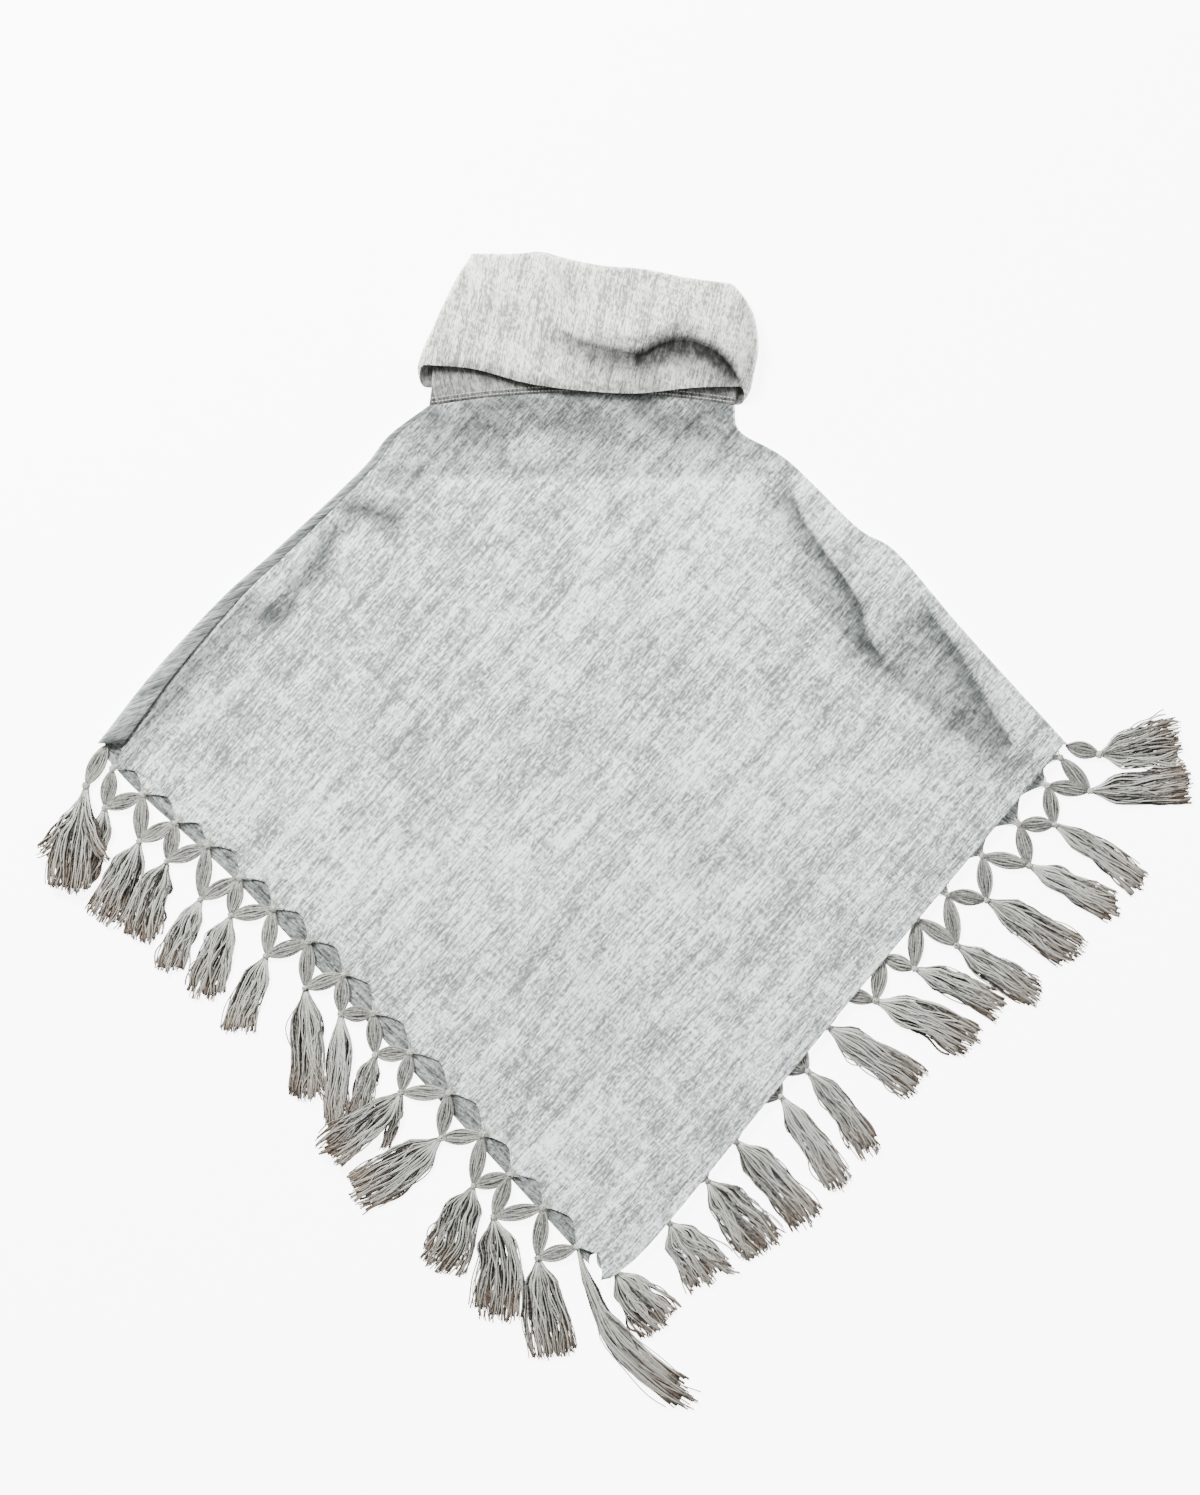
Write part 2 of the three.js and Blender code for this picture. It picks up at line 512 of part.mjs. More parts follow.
// A tassel lying on the surface: a head that swells from the knot and parts into locks.
// Its frame: t runs along the centre line, o to the left of it, z up.
function tasselTriangles(root, row) {
  const { tip, bend, spread, lift } = row;
  const start = new THREE.Vector2(root.x, root.y);
  const end = new THREE.Vector2(tip[0], tip[1]);
  const heading = end.clone().sub(start).normalize();
  const left = new THREE.Vector2(-heading.y, heading.x);
  start.addScaledVector(heading, KNOT.across + KNOT_GAP);
  const control = start.clone().add(end).multiplyScalar(0.5).addScaledVector(left, 2 * bend);
  const line = new THREE.QuadraticBezierCurve(start, control, end);
  const rootBottom = Math.max(root.z - TASSEL.rootHeight / 2, FLOOR_CLEARANCE);
  const at = (t, o, height, top, rise = 0) => {
    const centre = line.getPoint(t);
    const way = line.getTangent(Math.min(t, 1));
    const bottom = lerp(rootBottom, FLOOR_CLEARANCE, smooth(t / TASSEL.splitAt));
    const raised = bottom + rise + lift * smooth((t - TASSEL.liftFrom) / TASSEL.liftOver);
    return new THREE.Vector3(centre.x - way.y * o, centre.y + way.x * o, raised + (top ? height : 0));
  };
  const headWidth = TASSEL.headWidth + TASSEL.headShare * spread;
  const triangles = [];
  const quad = (a, b, c, d) => triangles.push([a, b, c], [a, c, d]);
  // The corners of a section: lower and upper right, upper and lower left
  const section = (t, [right, farLeft], height, rise = 0) => [at(t, right, height, 0, rise),
    at(t, right, height, 1, rise), at(t, farLeft, height, 1, rise), at(t, farLeft, height, 0, rise)];
  const walls = (near, far) => near.forEach((corner, i) => {
    const next = (i + 1) % near.length;
    quad(corner, far[i], far[next], near[next]);
  });

  const rootSpan = [-TASSEL.rootWidth / 2, TASSEL.rootWidth / 2];
  const bulge = rootSpan.map((o) => (Math.sign(o) * headWidth * TASSEL.bulgeShare) / 2);
  const { bulgeAt, splitAt, middleAt } = TASSEL;
  const { rootHeight, bulgeHeight, splitHeight, middleHeight, endHeight } = TASSEL;
  const rootCorners = section(0, rootSpan, rootHeight);
  if (row.stem) triangles.push(...stemTriangles(root, row.stem, rootCorners));
  else quad(...rootCorners);
  walls(rootCorners, section(bulgeAt, bulge, bulgeHeight));

  // Both edges of each lock where it leaves the head
  const headCell = headWidth / LOCKS;
  const split = Array.from({ length: 2 * LOCKS }, (_, j) => {
    const share = Math.floor(j / 2) - (LOCKS - 1) / 2;
    return (share + (j % 2 - 0.5) * TASSEL.splitFill) * headCell;
  });
  for (const top of [1, 0]) {
    const face = (a, b, c) => triangles.push(top ? [a, b, c] : [a, c, b]);
    const near = bulge.map((o) => at(bulgeAt, o, bulgeHeight, top));
    const far = split.map((o) => at(splitAt, o, splitHeight, top));
    for (let j = 0; j + 1 < far.length; j += 1) face(j < LOCKS ? near[0] : near[1], far[j], far[j + 1]);
    face(near[0], far[LOCKS], near[1]);
  }
  for (const [o, s, side] of [[bulge[1], split.at(-1), 1], [bulge[0], split[0], -1]]) {
    const corners = [at(bulgeAt, o, bulgeHeight, 0), at(bulgeAt, o, bulgeHeight, 1),
      at(splitAt, s, splitHeight, 1), at(splitAt, s, splitHeight, 0)];
    if (side < 0) corners.reverse();
    quad(...corners);
  }
  const headEnd = (right, farLeft) => section(splitAt, [right, farLeft], splitHeight).reverse();
  for (let k = 1; k < LOCKS; k += 1) quad(...headEnd(split[2 * k - 1], split[2 * k]));

  for (let k = 0; k < LOCKS; k += 1) {
    const share = k - (LOCKS - 1) / 2;
    const middleCell = lerp(headWidth, spread, (middleAt - splitAt) / (1 - splitAt)) / LOCKS;
    const endCell = spread / LOCKS;
    const sway = TASSEL.lockSway * Math.sin(k * SWAY_STEP + root.x);
    const uneven = TASSEL.endUneven * Math.sin(k * END_STEP + root.y);
    const cut = TASSEL.endAt - uneven - TASSEL.endRound * share ** 2;
    const middleSpan = [-0.5, 0.5].map((w) => (share + w * TASSEL.middleFill + sway) * middleCell);
    const endSpan = [-0.5, 0.5].map((w) => (share + w * TASSEL.endFill) * endCell);
    const fuller = 1 + TASSEL.heightUneven * Math.sin(k * HEAP_STEP + root.y);
    const lower = TASSEL.bottomUneven * (1 + Math.sin(k * FLOOR_STEP + root.x));
    const middle = section(middleAt, middleSpan, middleHeight * fuller, lower);
    const last = section(cut, endSpan, endHeight / fuller, lower / 2);
    walls(section(splitAt, [split[2 * k], split[2 * k + 1]], splitHeight), middle);
    walls(middle, last);
    quad(...last.reverse());
  }
  return triangles;
}

// A tassel on the net's knot, on its own stem, or on the edge knot
function tassel(row, edgeLevel, height) {
  const [[x, y], z] = row.knot ? [row.knot, FLOOR_CLEARANCE + height] : [row.edge, edgeLevel];
  return solid(tasselTriangles(new THREE.Vector3(x, y, z), row));
}

function mesh(name, geometry, look) {
  const piece = new THREE.Mesh(geometry, new THREE.MeshStandardMaterial(look));
  piece.name = name;
  return piece;
}

const poncho = new THREE.Group();

poncho.add(mesh('back_panel', panel({
  seamOutline: RIGHT_SHOULDER,
  wrapOutline: LEFT_SHOULDER,
  seamWrap: UNDER_WRAP,
  wrap: OVER_WRAP,
  knots: [...BACK_FRINGE, BACK_LAST].map(({ edge }) => edge),
  tip: BACK_TIP,
  selvage: BACK_SELVAGE,
  columns: BACK_COLUMNS,
  level: () => BACK_LEVEL,
  stripLevel: FRONT_LEVEL,
}), CLOTH));

poncho.add(mesh('front_panel', panel({
  seamOutline: LEFT_SHOULDER,
  wrapOutline: RIGHT_SHOULDER,
  seamWrap: OVER_WRAP,
  wrap: UNDER_WRAP,
  knots: FRONT_FRINGE.map(({ edge }) => edge),
  tip: FRONT_TIP,
  selvage: FRONT_SELVAGE,
  columns: FRONT_COLUMNS,
  level: frontLevel,
  stripLevel: BACK_LEVEL,
}), CLOTH));

poncho.add(mesh('collar', collar(), COLLAR_CLOTH));

const backEdgeLevel = FLOOR_CLEARANCE + KNOT.backHeight;
const frontNet = net(
  FRONT_FRINGE, FRONT_EDGE_KNOT_LEVEL, KNOT.frontHeight, LEG.frontThickness, KNOT.frontTurn,
);
const backNet = net(BACK_FRINGE, backEdgeLevel, KNOT.backHeight, LEG.backThickness, KNOT.backTurn);
poncho.add(mesh('front_net', frontNet, FRINGE_YARN));
poncho.add(mesh('back_net', backNet, FRINGE_YARN));

[...FRONT_FRINGE, FRONT_LAST].forEach((row, i) => {
  const geometry = tassel(row, FRONT_EDGE_KNOT_LEVEL, KNOT.frontHeight);
  poncho.add(mesh(`front_tassel_${String(i + 1).padStart(2, '0')}`, geometry, FRINGE_YARN));
});
[...BACK_FRINGE, BACK_LAST].forEach((row, i) => {
  const geometry = tassel(row, backEdgeLevel, KNOT.backHeight);
  poncho.add(mesh(`back_tassel_${String(i + 1).padStart(2, '0')}`, geometry, FRINGE_YARN));
});

// The frame's origin is the middle of the garment's box, on the surface it lies on.
const extent = new THREE.Box3().setFromObject(poncho);
const middle = extent.getCenter(new THREE.Vector3());
for (const piece of poncho.children) {
  piece.geometry.translate(-middle.x, -middle.y, -extent.min.z);
}

export default poncho;
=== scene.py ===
import logging
import math
from dataclasses import dataclass, field
from enum import Enum
from typing import Sequence

import bpy
import numpy as np
from numpy.typing import NDArray
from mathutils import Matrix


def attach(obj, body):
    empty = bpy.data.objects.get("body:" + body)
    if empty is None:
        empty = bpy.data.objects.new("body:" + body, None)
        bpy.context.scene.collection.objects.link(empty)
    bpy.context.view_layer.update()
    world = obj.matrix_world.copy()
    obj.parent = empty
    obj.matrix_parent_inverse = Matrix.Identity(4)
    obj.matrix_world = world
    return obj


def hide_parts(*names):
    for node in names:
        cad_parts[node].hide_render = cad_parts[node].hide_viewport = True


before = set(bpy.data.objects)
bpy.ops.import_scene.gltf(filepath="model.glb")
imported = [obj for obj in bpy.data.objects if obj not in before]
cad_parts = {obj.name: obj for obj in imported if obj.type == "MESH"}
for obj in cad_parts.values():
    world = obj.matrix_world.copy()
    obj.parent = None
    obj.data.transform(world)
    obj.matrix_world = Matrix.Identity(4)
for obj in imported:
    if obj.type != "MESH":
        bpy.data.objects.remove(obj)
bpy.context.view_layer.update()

Array = NDArray[np.float64]
Colour = tuple[float, float, float, float]
Socket = bpy.types.NodeSocket
LOG = logging.getLogger("poncho")

# All shapes below are drawn in millimetres, x to the right and y up as the garment is seen.
# The middle of the garment's box, the frame's origin, has this place in the drawing.
DRAWING_CENTRE = np.array([3.644, 1.609, 0.0])
MM = 0.001
SEED = 11

# Levels and sizes shared with the solids
CLOTH_THICKNESS = 1.1
BACK_LEVEL = 0.75
FRONT_LEVEL = 3.3
SEAM_GAP = 0.3
SHOULDER_LENGTH = 430.0
NECK_RISE = 11.0
# The folds run at 45 degrees to the rows, so a radius across them is this much longer on a row.
OBLIQUE = math.sqrt(2.0)
NOTCH_DEPTH = 12.6
KNOT_INSET = 1.2
FLOOR_CLEARANCE = 0.35
FRONT_KNOT_LEVEL = 4.7
BACK_KNOT_LEVEL = 2.45
LOWER_KNOT_LEVEL = 2.7

LEFT_SHOULDER = [[-168, 384], [-205, 356], [-231, 324], [-308, 252], [-352, 213], [-414, 146], [-466, 80]]
RIGHT_SHOULDER = [[106, 384], [111, 360], [154, 334], [216, 274], [252, 251], [311, 182], [405, 79]]
FRONT_SELVAGE = [[386, 60], [291, -54], [189, -176], [104, -280], [51, -345], [20, -380], [-5, -400]]
BACK_SELVAGE = [[-458, 66], [-428, 34], [-345, -41], [-269, -122], [-174, -225], [-113, -292], [-30, -383]]
FRONT_TIP = (-14, -402)
BACK_TIP = (-24, -389)


class Thread(Enum):
    """Direction of a piece's warp on the plan, in degrees from the x axis."""

    FRONT = 49.5
    BACK = -40.5
    COLLAR = 78.0


@dataclass(frozen=True)
class Wrap:
    """Cloth folded over a shoulder edge: radius of the fold and width of the strip, neck to corner."""

    neck_radius: float
    corner_radius: float
    neck_width: float
    corner_width: float

    def radius(self, s: Array) -> Array:
        """Fold radius at the share s of the way from neck to corner."""
        return self.neck_radius + (self.corner_radius - self.neck_radius) * s

    def width(self, s: Array) -> Array:
        """Strip width at the share s of the way from neck to corner."""
        return self.neck_width + (self.corner_width - self.neck_width) * s


OVER_WRAP = Wrap(1.3, 3.9, 5.0, 23.5)
UNDER_WRAP = Wrap(1.3, 2.6, 5.0, 22.0)


@dataclass(frozen=True)
class TasselRow:
    """One station of a fringe: edge knot, lower knot, and how its tassel lies.

    bend is how far the tassel's middle lies to the left of its straight line, spread the width of
    its end, lift its rise over a neighbour, stem the start of a tassel that hangs beside the net,
    narrow the share of its length that stays gathered like a leg.
    """

    edge: tuple[float, float]
    knot: tuple[float, float] | None
    tip: tuple[float, float]
    bend: float = 0.0
    spread: float = 30.0
    lift: float = 0.0
    stem: tuple[float, float] | None = None
    narrow: float = 0.0


FRONT_FRINGE = [
    TasselRow((-453, 57), (-477, 42), (-492, -52), -1, 38, 6.5, (-458, 79.2), 0.28),
    TasselRow((-426, 34), (-460, 22), (-481, -44), 3, 20),
    TasselRow((-396, 9), (-429, -8), (-463, -78), 2, 34),
    TasselRow((-368, -12), (-404, -26), (-430, -96), -3, 33),
    TasselRow((-339, -41), (-374, -60), (-403, -126), -2, 24),
    TasselRow((-309, -69), (-347, -75), (-372, -148), -2, 33),
    TasselRow((-277, -98), (-315, -111), (-342, -182), -2, 27),
    TasselRow((-246, -128), (-280, -140), (-281, -241), 2, 32),
    TasselRow((-219, -163), (-248, -163), (-254, -264), 1, 20),
    TasselRow((-186, -198), (-217, -200), (-233, -262), -2, 19),
    TasselRow((-151, -234), (-194, -234), (-262, -289), 2, 32, 6.5),
    TasselRow((-121, -272), (-158, -275), (-236, -327), 2, 40),
    TasselRow((-96, -308), (-129, -318), (-162, -392), 2, 42),
    TasselRow((-66, -337), (-111, -346), (-107, -437), 3, 46),
    TasselRow((-36, -373), (-71, -383), (-54, -476), -2, 43),
]
FRONT_LAST = TasselRow((-36, -373), None, (65, -508), -19, 26, narrow=0.3)
# Locks that have parted from their tassels and lie beside them
FRONT_STRAYS = (
    TasselRow((-453, 57), (-477, 42), (-519, -18), 7, 15, 4.5, None, 0.3),
    TasselRow((-453, 57), (-477, 42), (-457, -24), -6, 13, 8.0, None, 0.35),
    TasselRow((-151, -234), (-194, -234), (-211, -286), 3, 7),
    TasselRow((-246, -128), (-280, -140), (-262, -236), -4, 9),
)

BACK_FRINGE = [
    TasselRow((399, 67), (434, 70), (508, 84), -1, 44, 0, (403.8, 77.9)),
    TasselRow((387, 42), (426, 37), (518, 46), -2, 32),
    TasselRow((362, 7), (394, 7), (474, -49), 2, 22),
    TasselRow((329, -21), (371, -30), (453, -71), 0, 22),
    TasselRow((297, -56), (333, -61), (415, -110), 1, 32),
    TasselRow((270, -78), (306, -102), (379, -148), 0, 25),
    TasselRow((239, -112), (268, -123), (347, -159), 2, 24),
    TasselRow((197, -142), (233, -152), (322, -190), 3, 33),
    TasselRow((155, -172), (189, -175), (274, -231), 2, 31),
    TasselRow((134, -208), (172, -215), (229, -288), 3, 24),
    TasselRow((110, -236), (148, -238), (203, -320), 0, 26),
    TasselRow((70, -272), (107, -278), (173, -352), 2, 34),
    TasselRow((43, -308), (81, -313), (136, -376), 0, 42),
    TasselRow((10, -344), (47, -351), (87, -403), 0, 46),
]
BACK_LAST = TasselRow((-15, -379), (-2, -395), (44, -447), 0, 42, 0, (-17, -377))
BACK_STRAYS = (
    TasselRow((43, -308), (81, -313), (117, -384), 4, 8),
    TasselRow((10, -344), (47, -351), (109, -396), -4, 9),
)


def smooth(value: Array) -> Array:
    """Smooth step from 0 to 1: 3v^2 - 2v^3, with v held to 0..1."""
    v = np.clip(value, 0.0, 1.0)
    return v * v * (3.0 - 2.0 * v)


def mix(low: Array, high: Array, share: Array) -> Array:
    """Straight blend from low to high."""
    return low + (high - low) * share


def spline(points: Sequence[Sequence[float]], steps: int = 24) -> Array:
    """Catmull-Rom curve through points: a cubic on each span, its end slopes half the neighbours' chord.

    Args:
        points: the points, in order, with any number of coordinates.
        steps: samples on each span.

    Returns:
        The samples, one row each.
    """
    p = np.asarray(points, float)
    g = np.vstack([2 * p[0] - p[1], p, 2 * p[-1] - p[-2]])
    t = np.linspace(0, 1, steps, endpoint=False)[None, :, None]
    a, b, c, d = g[:-3, None], g[1:-2, None], g[2:-1, None], g[3:, None]
    slope0, slope1 = (c - a) / 2, (d - b) / 2
    curve = ((2 * t**3 - 3 * t**2 + 1) * b + (t**3 - 2 * t**2 + t) * slope0
             + (3 * t**2 - 2 * t**3) * c + (t**3 - t**2) * slope1)
    return np.vstack([curve.reshape(-1, p.shape[1]), p[-1]])


def along(curve: Array, shares: Array) -> Array:
    """Points at shares of the length of a sampled curve.

    Args:
        curve: its samples, (n, coordinates).
        shares: from 0 to 1.

    Returns:
        The points, one row each.
    """
    steps = np.linalg.norm(np.diff(curve, axis=0), axis=1)
    run = np.concatenate([[0.0], np.cumsum(steps)])
    at = np.asarray(shares, float) * run[-1]
    return np.stack([np.interp(at, run, curve[:, k]) for k in range(curve.shape[1])], axis=-1)


def graded(count: int, dense_from: float, density: float) -> Array:
    """Stations from 0 to 1 that lie evenly, and density times closer past dense_from."""
    even = np.linspace(0, dense_from + (1 - dense_from) * density, count)
    return np.where(even < dense_from, even, dense_from + (even - dense_from) / density)


def from_curve(curve: Array, plan: Array) -> tuple[Array, Array, Array]:
    """Distance of plan points from a sampled curve, each from its nearest piece.

    Args:
        curve: samples of the curve, (n, 2).
        plan: points, (..., 2).

    Returns:
        Distance, +1 to the left and -1 to the right of the curve, and the share of its length there.
    """
    shape = plan.shape[:-1]
    p = plan.reshape(-1, 2)
    a, way = curve[:-1], np.diff(curve, axis=0)
    rel = p[:, None, :] - a[None]
    t = np.clip((rel * way).sum(-1) / (way**2).sum(-1), 0, 1)
    gap = rel - t[..., None] * way
    square = (gap**2).sum(-1)
    nearest = square.argmin(1)
    rows = np.arange(len(p))
    cross = way[nearest, 0] * rel[rows, nearest, 1] - way[nearest, 1] * rel[rows, nearest, 0]
    share = (nearest + t[rows, nearest]) / len(way)
    distance = np.sqrt(square[rows, nearest])
    return distance.reshape(shape), np.sign(cross).reshape(shape), share.reshape(shape)


# Width over which a crease's left side passes into its right, and how sharply its shade falls off
SIDE_BLEND = 6.0
SHADE_POWER = 1.6
WAVE_COUNT = 12


@dataclass(frozen=True)
class Crease:
    """A fold: a ridge, or a trough where height is negative.

    left and right are its widths to the left and right of its line, seen along it. shade is how
    much light it loses, over dark_left and dark_right, or over left and right where those are 0,
    and fade the share of its length over which it dies out at each end.
    """

    name: str
    line: tuple[tuple[float, float], ...]
    height: float
    left: float
    right: float
    shade: float = 0.0
    fade: float = 0.25
    dark_left: float = 0.0
    dark_right: float = 0.0

    def lay(self, plan: Array) -> tuple[Array, Array]:
        """Rise and shade at plan points: a bell exp(-(d/width)^2) across, fading at both ends.

        Args:
            plan: points, (..., 2).

        Returns:
            The rise and the share of light lost.
        """
        distance, side, share = from_curve(spline(self.line, 10), plan)
        ends = smooth(share / self.fade) * smooth((1 - share) / self.fade)
        width = mix(self.right, self.left, smooth(side * distance / SIDE_BLEND + 0.5))
        dark = np.where(side > 0, self.dark_left or self.left, self.dark_right or self.right)
        bell = np.exp(-((distance / width) ** 2)) * ends
        return self.height * bell, self.shade * np.exp(-((distance / dark) ** SHADE_POWER)) * ends


def lay_creases(creases: Sequence[Crease], plan: Array) -> tuple[Array, Array]:
    """All creases laid together.

    Args:
        creases: the creases.
        plan: points, (..., 2).

    Returns:
        The sum of their rises, and the share of light lost to all of them.
    """
    rise, shade = np.zeros(plan.shape[:-1]), np.zeros(plan.shape[:-1])
    for crease in creases:
        one, dark = crease.lay(plan)
        rise += one
        shade = 1 - (1 - shade) * (1 - dark)
    return rise, shade


def waves(plan: Array, length: float, height: float, seed: int) -> Array:
    """Gentle unevenness: sine waves in random directions, 0.6 to 1.6 times as long as given.

    Args:
        plan: points, (..., 2).
        length: of a usual wave.
        height: of the unevenness, as a root mean square.
        seed: of the random numbers.

    Returns:
        The rise at each point.
    """
    rng = np.random.default_rng(seed)
    total = np.zeros(plan.shape[:-1])
    for _ in range(WAVE_COUNT):
        angle, phase = rng.uniform(0, 2 * math.pi, 2)
        k = 2 * math.pi / (length * rng.uniform(0.6, 1.6))
        total += np.sin(k * (plan[..., 0] * math.cos(angle) + plan[..., 1] * math.sin(angle)) + phase)
    return total * height / math.sqrt(WAVE_COUNT)


def make_piece(name: str, points: Array, faces: Sequence[Array], look: bpy.types.Material,
               values: dict[str, Array] | None = None) -> bpy.types.Object:
    """A mesh object of the scene.

    Args:
        name: its name.
        points: vertices in drawing millimetres, (n, 3).
        faces: index arrays, each (m, 3) or (m, 4).
        look: its material.
        values: vertex attributes, scalar (n,) or vector (n, 3).

    Returns:
        The object, at the origin.
    """
    mesh = bpy.data.meshes.new(name)
    placed = (points - DRAWING_CENTRE) * MM
    loops = np.concatenate([f.ravel() for f in faces]).astype(np.int32)
    sizes = np.concatenate([np.full(len(f), f.shape[1]) for f in faces]).astype(np.int32)
    mesh.vertices.add(len(placed))
    mesh.vertices.foreach_set("co", placed.astype(np.float32).ravel())
    mesh.loops.add(len(loops))
    mesh.loops.foreach_set("vertex_index", loops)
    mesh.polygons.add(len(sizes))
    starts = np.concatenate([[0], np.cumsum(sizes)[:-1]])
    mesh.polygons.foreach_set("loop_start", starts.astype(np.int32))
    mesh.polygons.foreach_set("use_smooth", np.ones(len(sizes), bool))
    for key, value in (values or {}).items():
        kind = "FLOAT" if value.ndim == 1 else "FLOAT_VECTOR"
        part = "value" if value.ndim == 1 else "vector"
        attribute = mesh.attributes.new(key, kind, "POINT")
        attribute.data.foreach_set(part, value.astype(np.float32).ravel())
    mesh.update(calc_edges=True)
    mesh.validate()
    mesh.materials.append(look)
    piece = bpy.data.objects.new(name, mesh)
    bpy.context.scene.collection.objects.link(piece)
    LOG.info("%s: %d faces", name, len(sizes))
    return piece


def grid_faces(rows: Array) -> Array:
    """The quads between neighbouring rows of an index grid."""
    a, b, c, d = rows[:-1, :-1], rows[1:, :-1], rows[1:, 1:], rows[:-1, 1:]
    return np.stack([a, b, c, d], axis=-1).reshape(-1, 4)


@dataclass
class Cloth:
    """A sheet as a middle surface of quads, thickened into a closed shell."""

    points: Array
    quads: Array
    threads: Array
    shade: Array
    hem: Array

    def normals(self) -> Array:
        """Unit vertex normals, the sum of the faces' area vectors.

        Returns:
            The normals, (n, 3).
        """
        p = self.points[self.quads]
        area = np.cross(p[:, 2] - p[:, 0], p[:, 3] - p[:, 1])
        total = np.zeros_like(self.points)
        for k in range(4):
            np.add.at(total, self.quads[:, k], area)
        return total / np.maximum(np.linalg.norm(total, axis=1, keepdims=True), 1e-12)

    def face_up(self, vertex: int) -> None:
        """Turns all faces over if the cloth looks down at a vertex."""
        if self.normals()[vertex, 2] < 0:
            self.quads = self.quads[:, ::-1].copy()

    def shell(self, name: str, thickness: float, look: bpy.types.Material) -> bpy.types.Object:
        """The closed shell, half its thickness to each side of the middle surface.

        Args:
            name: the piece's name.
            thickness: of the cloth.
            look: its material.

        Returns:
            The piece.
        """
        step = self.normals() * thickness / 2
        count = len(self.points)
        edges = np.concatenate([self.quads[:, [k, (k + 1) % 4]] for k in range(4)])
        keys = edges[:, 0].astype(np.int64) * count + edges[:, 1]
        back = edges[:, 1].astype(np.int64) * count + edges[:, 0]
        rim = edges[~np.isin(keys, back)]
        side = np.stack([rim[:, 1], rim[:, 0], rim[:, 0] + count, rim[:, 1] + count], axis=-1)
        faces = [self.quads, self.quads[:, ::-1] + count, side]
        points = np.vstack([self.points + step, self.points - step])
        values = {"threads": np.vstack([self.threads, self.threads]) * MM,
                  "shade": np.concatenate([self.shade, self.shade]),
                  "hem": np.concatenate([self.hem, self.hem]) * MM}
        return make_piece(name, points, faces, look, values)


def thread_frame(plan: Array, direction: Thread, layer: float) -> Array:
    """Cloth coordinates, in which the weave is drawn.

    Args:
        plan: points, (..., 2).
        direction: of the warp.
        layer: the piece's own number, so that no two pieces share their pattern.

    Returns:
        For each point the place along the warp, the place across it, and the layer.
    """
    angle = math.radians(direction.value)
    warp = plan[..., 0] * math.cos(angle) + plan[..., 1] * math.sin(angle)
    weft = -plan[..., 0] * math.sin(angle) + plan[..., 1] * math.cos(angle)
    return np.stack([warp, weft, np.full_like(warp, layer)], axis=-1)


FRONT_CREASES = (
    Crease("right shoulder", ((150, 334), (165, 286), (188, 250), (202, 231), (219, 204), (227, 173),
                              (251, 139)), -2.4, 5, 17, 0.84, 0.14, 2.4, 19),
    Crease("over the right shoulder", ((164, 332), (180, 288), (203, 252), (232, 212), (244, 172),
                                       (266, 142)), 3.4, 12, 8),
    Crease("right chest", ((148, 240), (168, 217), (206, 178), (249, 141), (271, 118), (318, 83), (368, 52)),
           -1.5, 13, 8, 0.46, 0.2, 24, 2.5),
    Crease("beside the edge band", ((272, 214), (284, 193), (300, 173), (318, 143), (337, 109), (354, 81),
                                    (376, 52)), -2.4, 4.5, 24, 0.78, 0.16, 2.2, 36),
    Crease("edge band", ((284, 208), (302, 176), (323, 156), (345, 120), (367, 86), (388, 66)), 2.6, 9, 7),
    Crease("left shoulder", ((-246, 284), (-256, 262), (-271, 236), (-286, 218), (-300, 197), (-338, 190)),
           -1.8, 9, 9, 0.74, 0.14, 8, 14),
    Crease("left shoulder ridge", ((-248, 264), (-272, 226), (-288, 196)), 1.6, 8, 8),
    Crease("left patch", ((-262, 296), (-232, 290), (-206, 284), (-184, 278)),
           -0.8, 12, 12, 0.82, 0.25, 12, 11),
    Crease("left top patch", ((-218, 330), (-196, 318), (-160, 324)), -0.6, 12, 12, 0.5, 0.3),
    Crease("left lower patch", ((-346, 206), (-318, 194), (-286, 196)), -0.8, 13, 13, 0.3),
    Crease("left lower shoulder", ((-318, 236), (-352, 186), (-402, 128), (-440, 78)),
           -1.4, 9, 14, 0.5, 0.3, 22, 12),
    Crease("left of the neck", ((-196, 352), (-150, 346), (-110, 352)), -0.6, 14, 14, 0.26),
    Crease("neck left", ((-150, 372), (-116, 356), (-96, 346)), -0.6, 16, 16, 0.36),
    Crease("neck middle", ((-40, 372), (0, 352), (34, 344)), -0.5, 16, 16, 0.26),
    Crease("neck right", ((52, 378), (80, 356), (118, 336)), -0.6, 16, 16, 0.36),
    Crease("below the neck", ((-196, 322), (-120, 319), (0, 320), (132, 317)), -1.0, 12, 5, 0.2, 0.2, 12, 2),
    Crease("soft middle", ((20, 60), (70, -10), (60, -80)), -1.0, 26, 30, 0.16),
    Crease("soft lower", ((-60, -60), (-20, -140), (10, -220)), -0.8, 24, 24, 0.12),
    Crease("soft left", ((-230, 120), (-180, 40), (-190, -30)), -0.8, 30, 26, 0.14),
)
BACK_CREASES = (
    Crease("left hidden", ((-300, 150), (-180, 20), (-60, -60)), 1.2, 30, 30),
    Crease("right hidden", ((250, 190), (150, 60), (90, -60)), 1.0, 34, 34),
)
# The collar's shadow on the cloth below it reaches down to the first of these heights faintly, and
# to the second one deeply.
NECK_SHADOW_END = 318.0
COLLAR_SHADOW_END = 334.0
# A hem along the selvage: its width, how soon its edge steps up, and where its stitch line runs
HEM_WIDTH = 12.0
HEM_STEP = 1.5
STITCH_LINE = 10.8
# Distance from the selvage that stands for cloth without one
NO_HEM = 1000.0
# Width beside the outline that creases leave flat, and how far they are lifted clear of the solid
CALM_EDGE = 9.0
CREASE_LIFT = 0.5


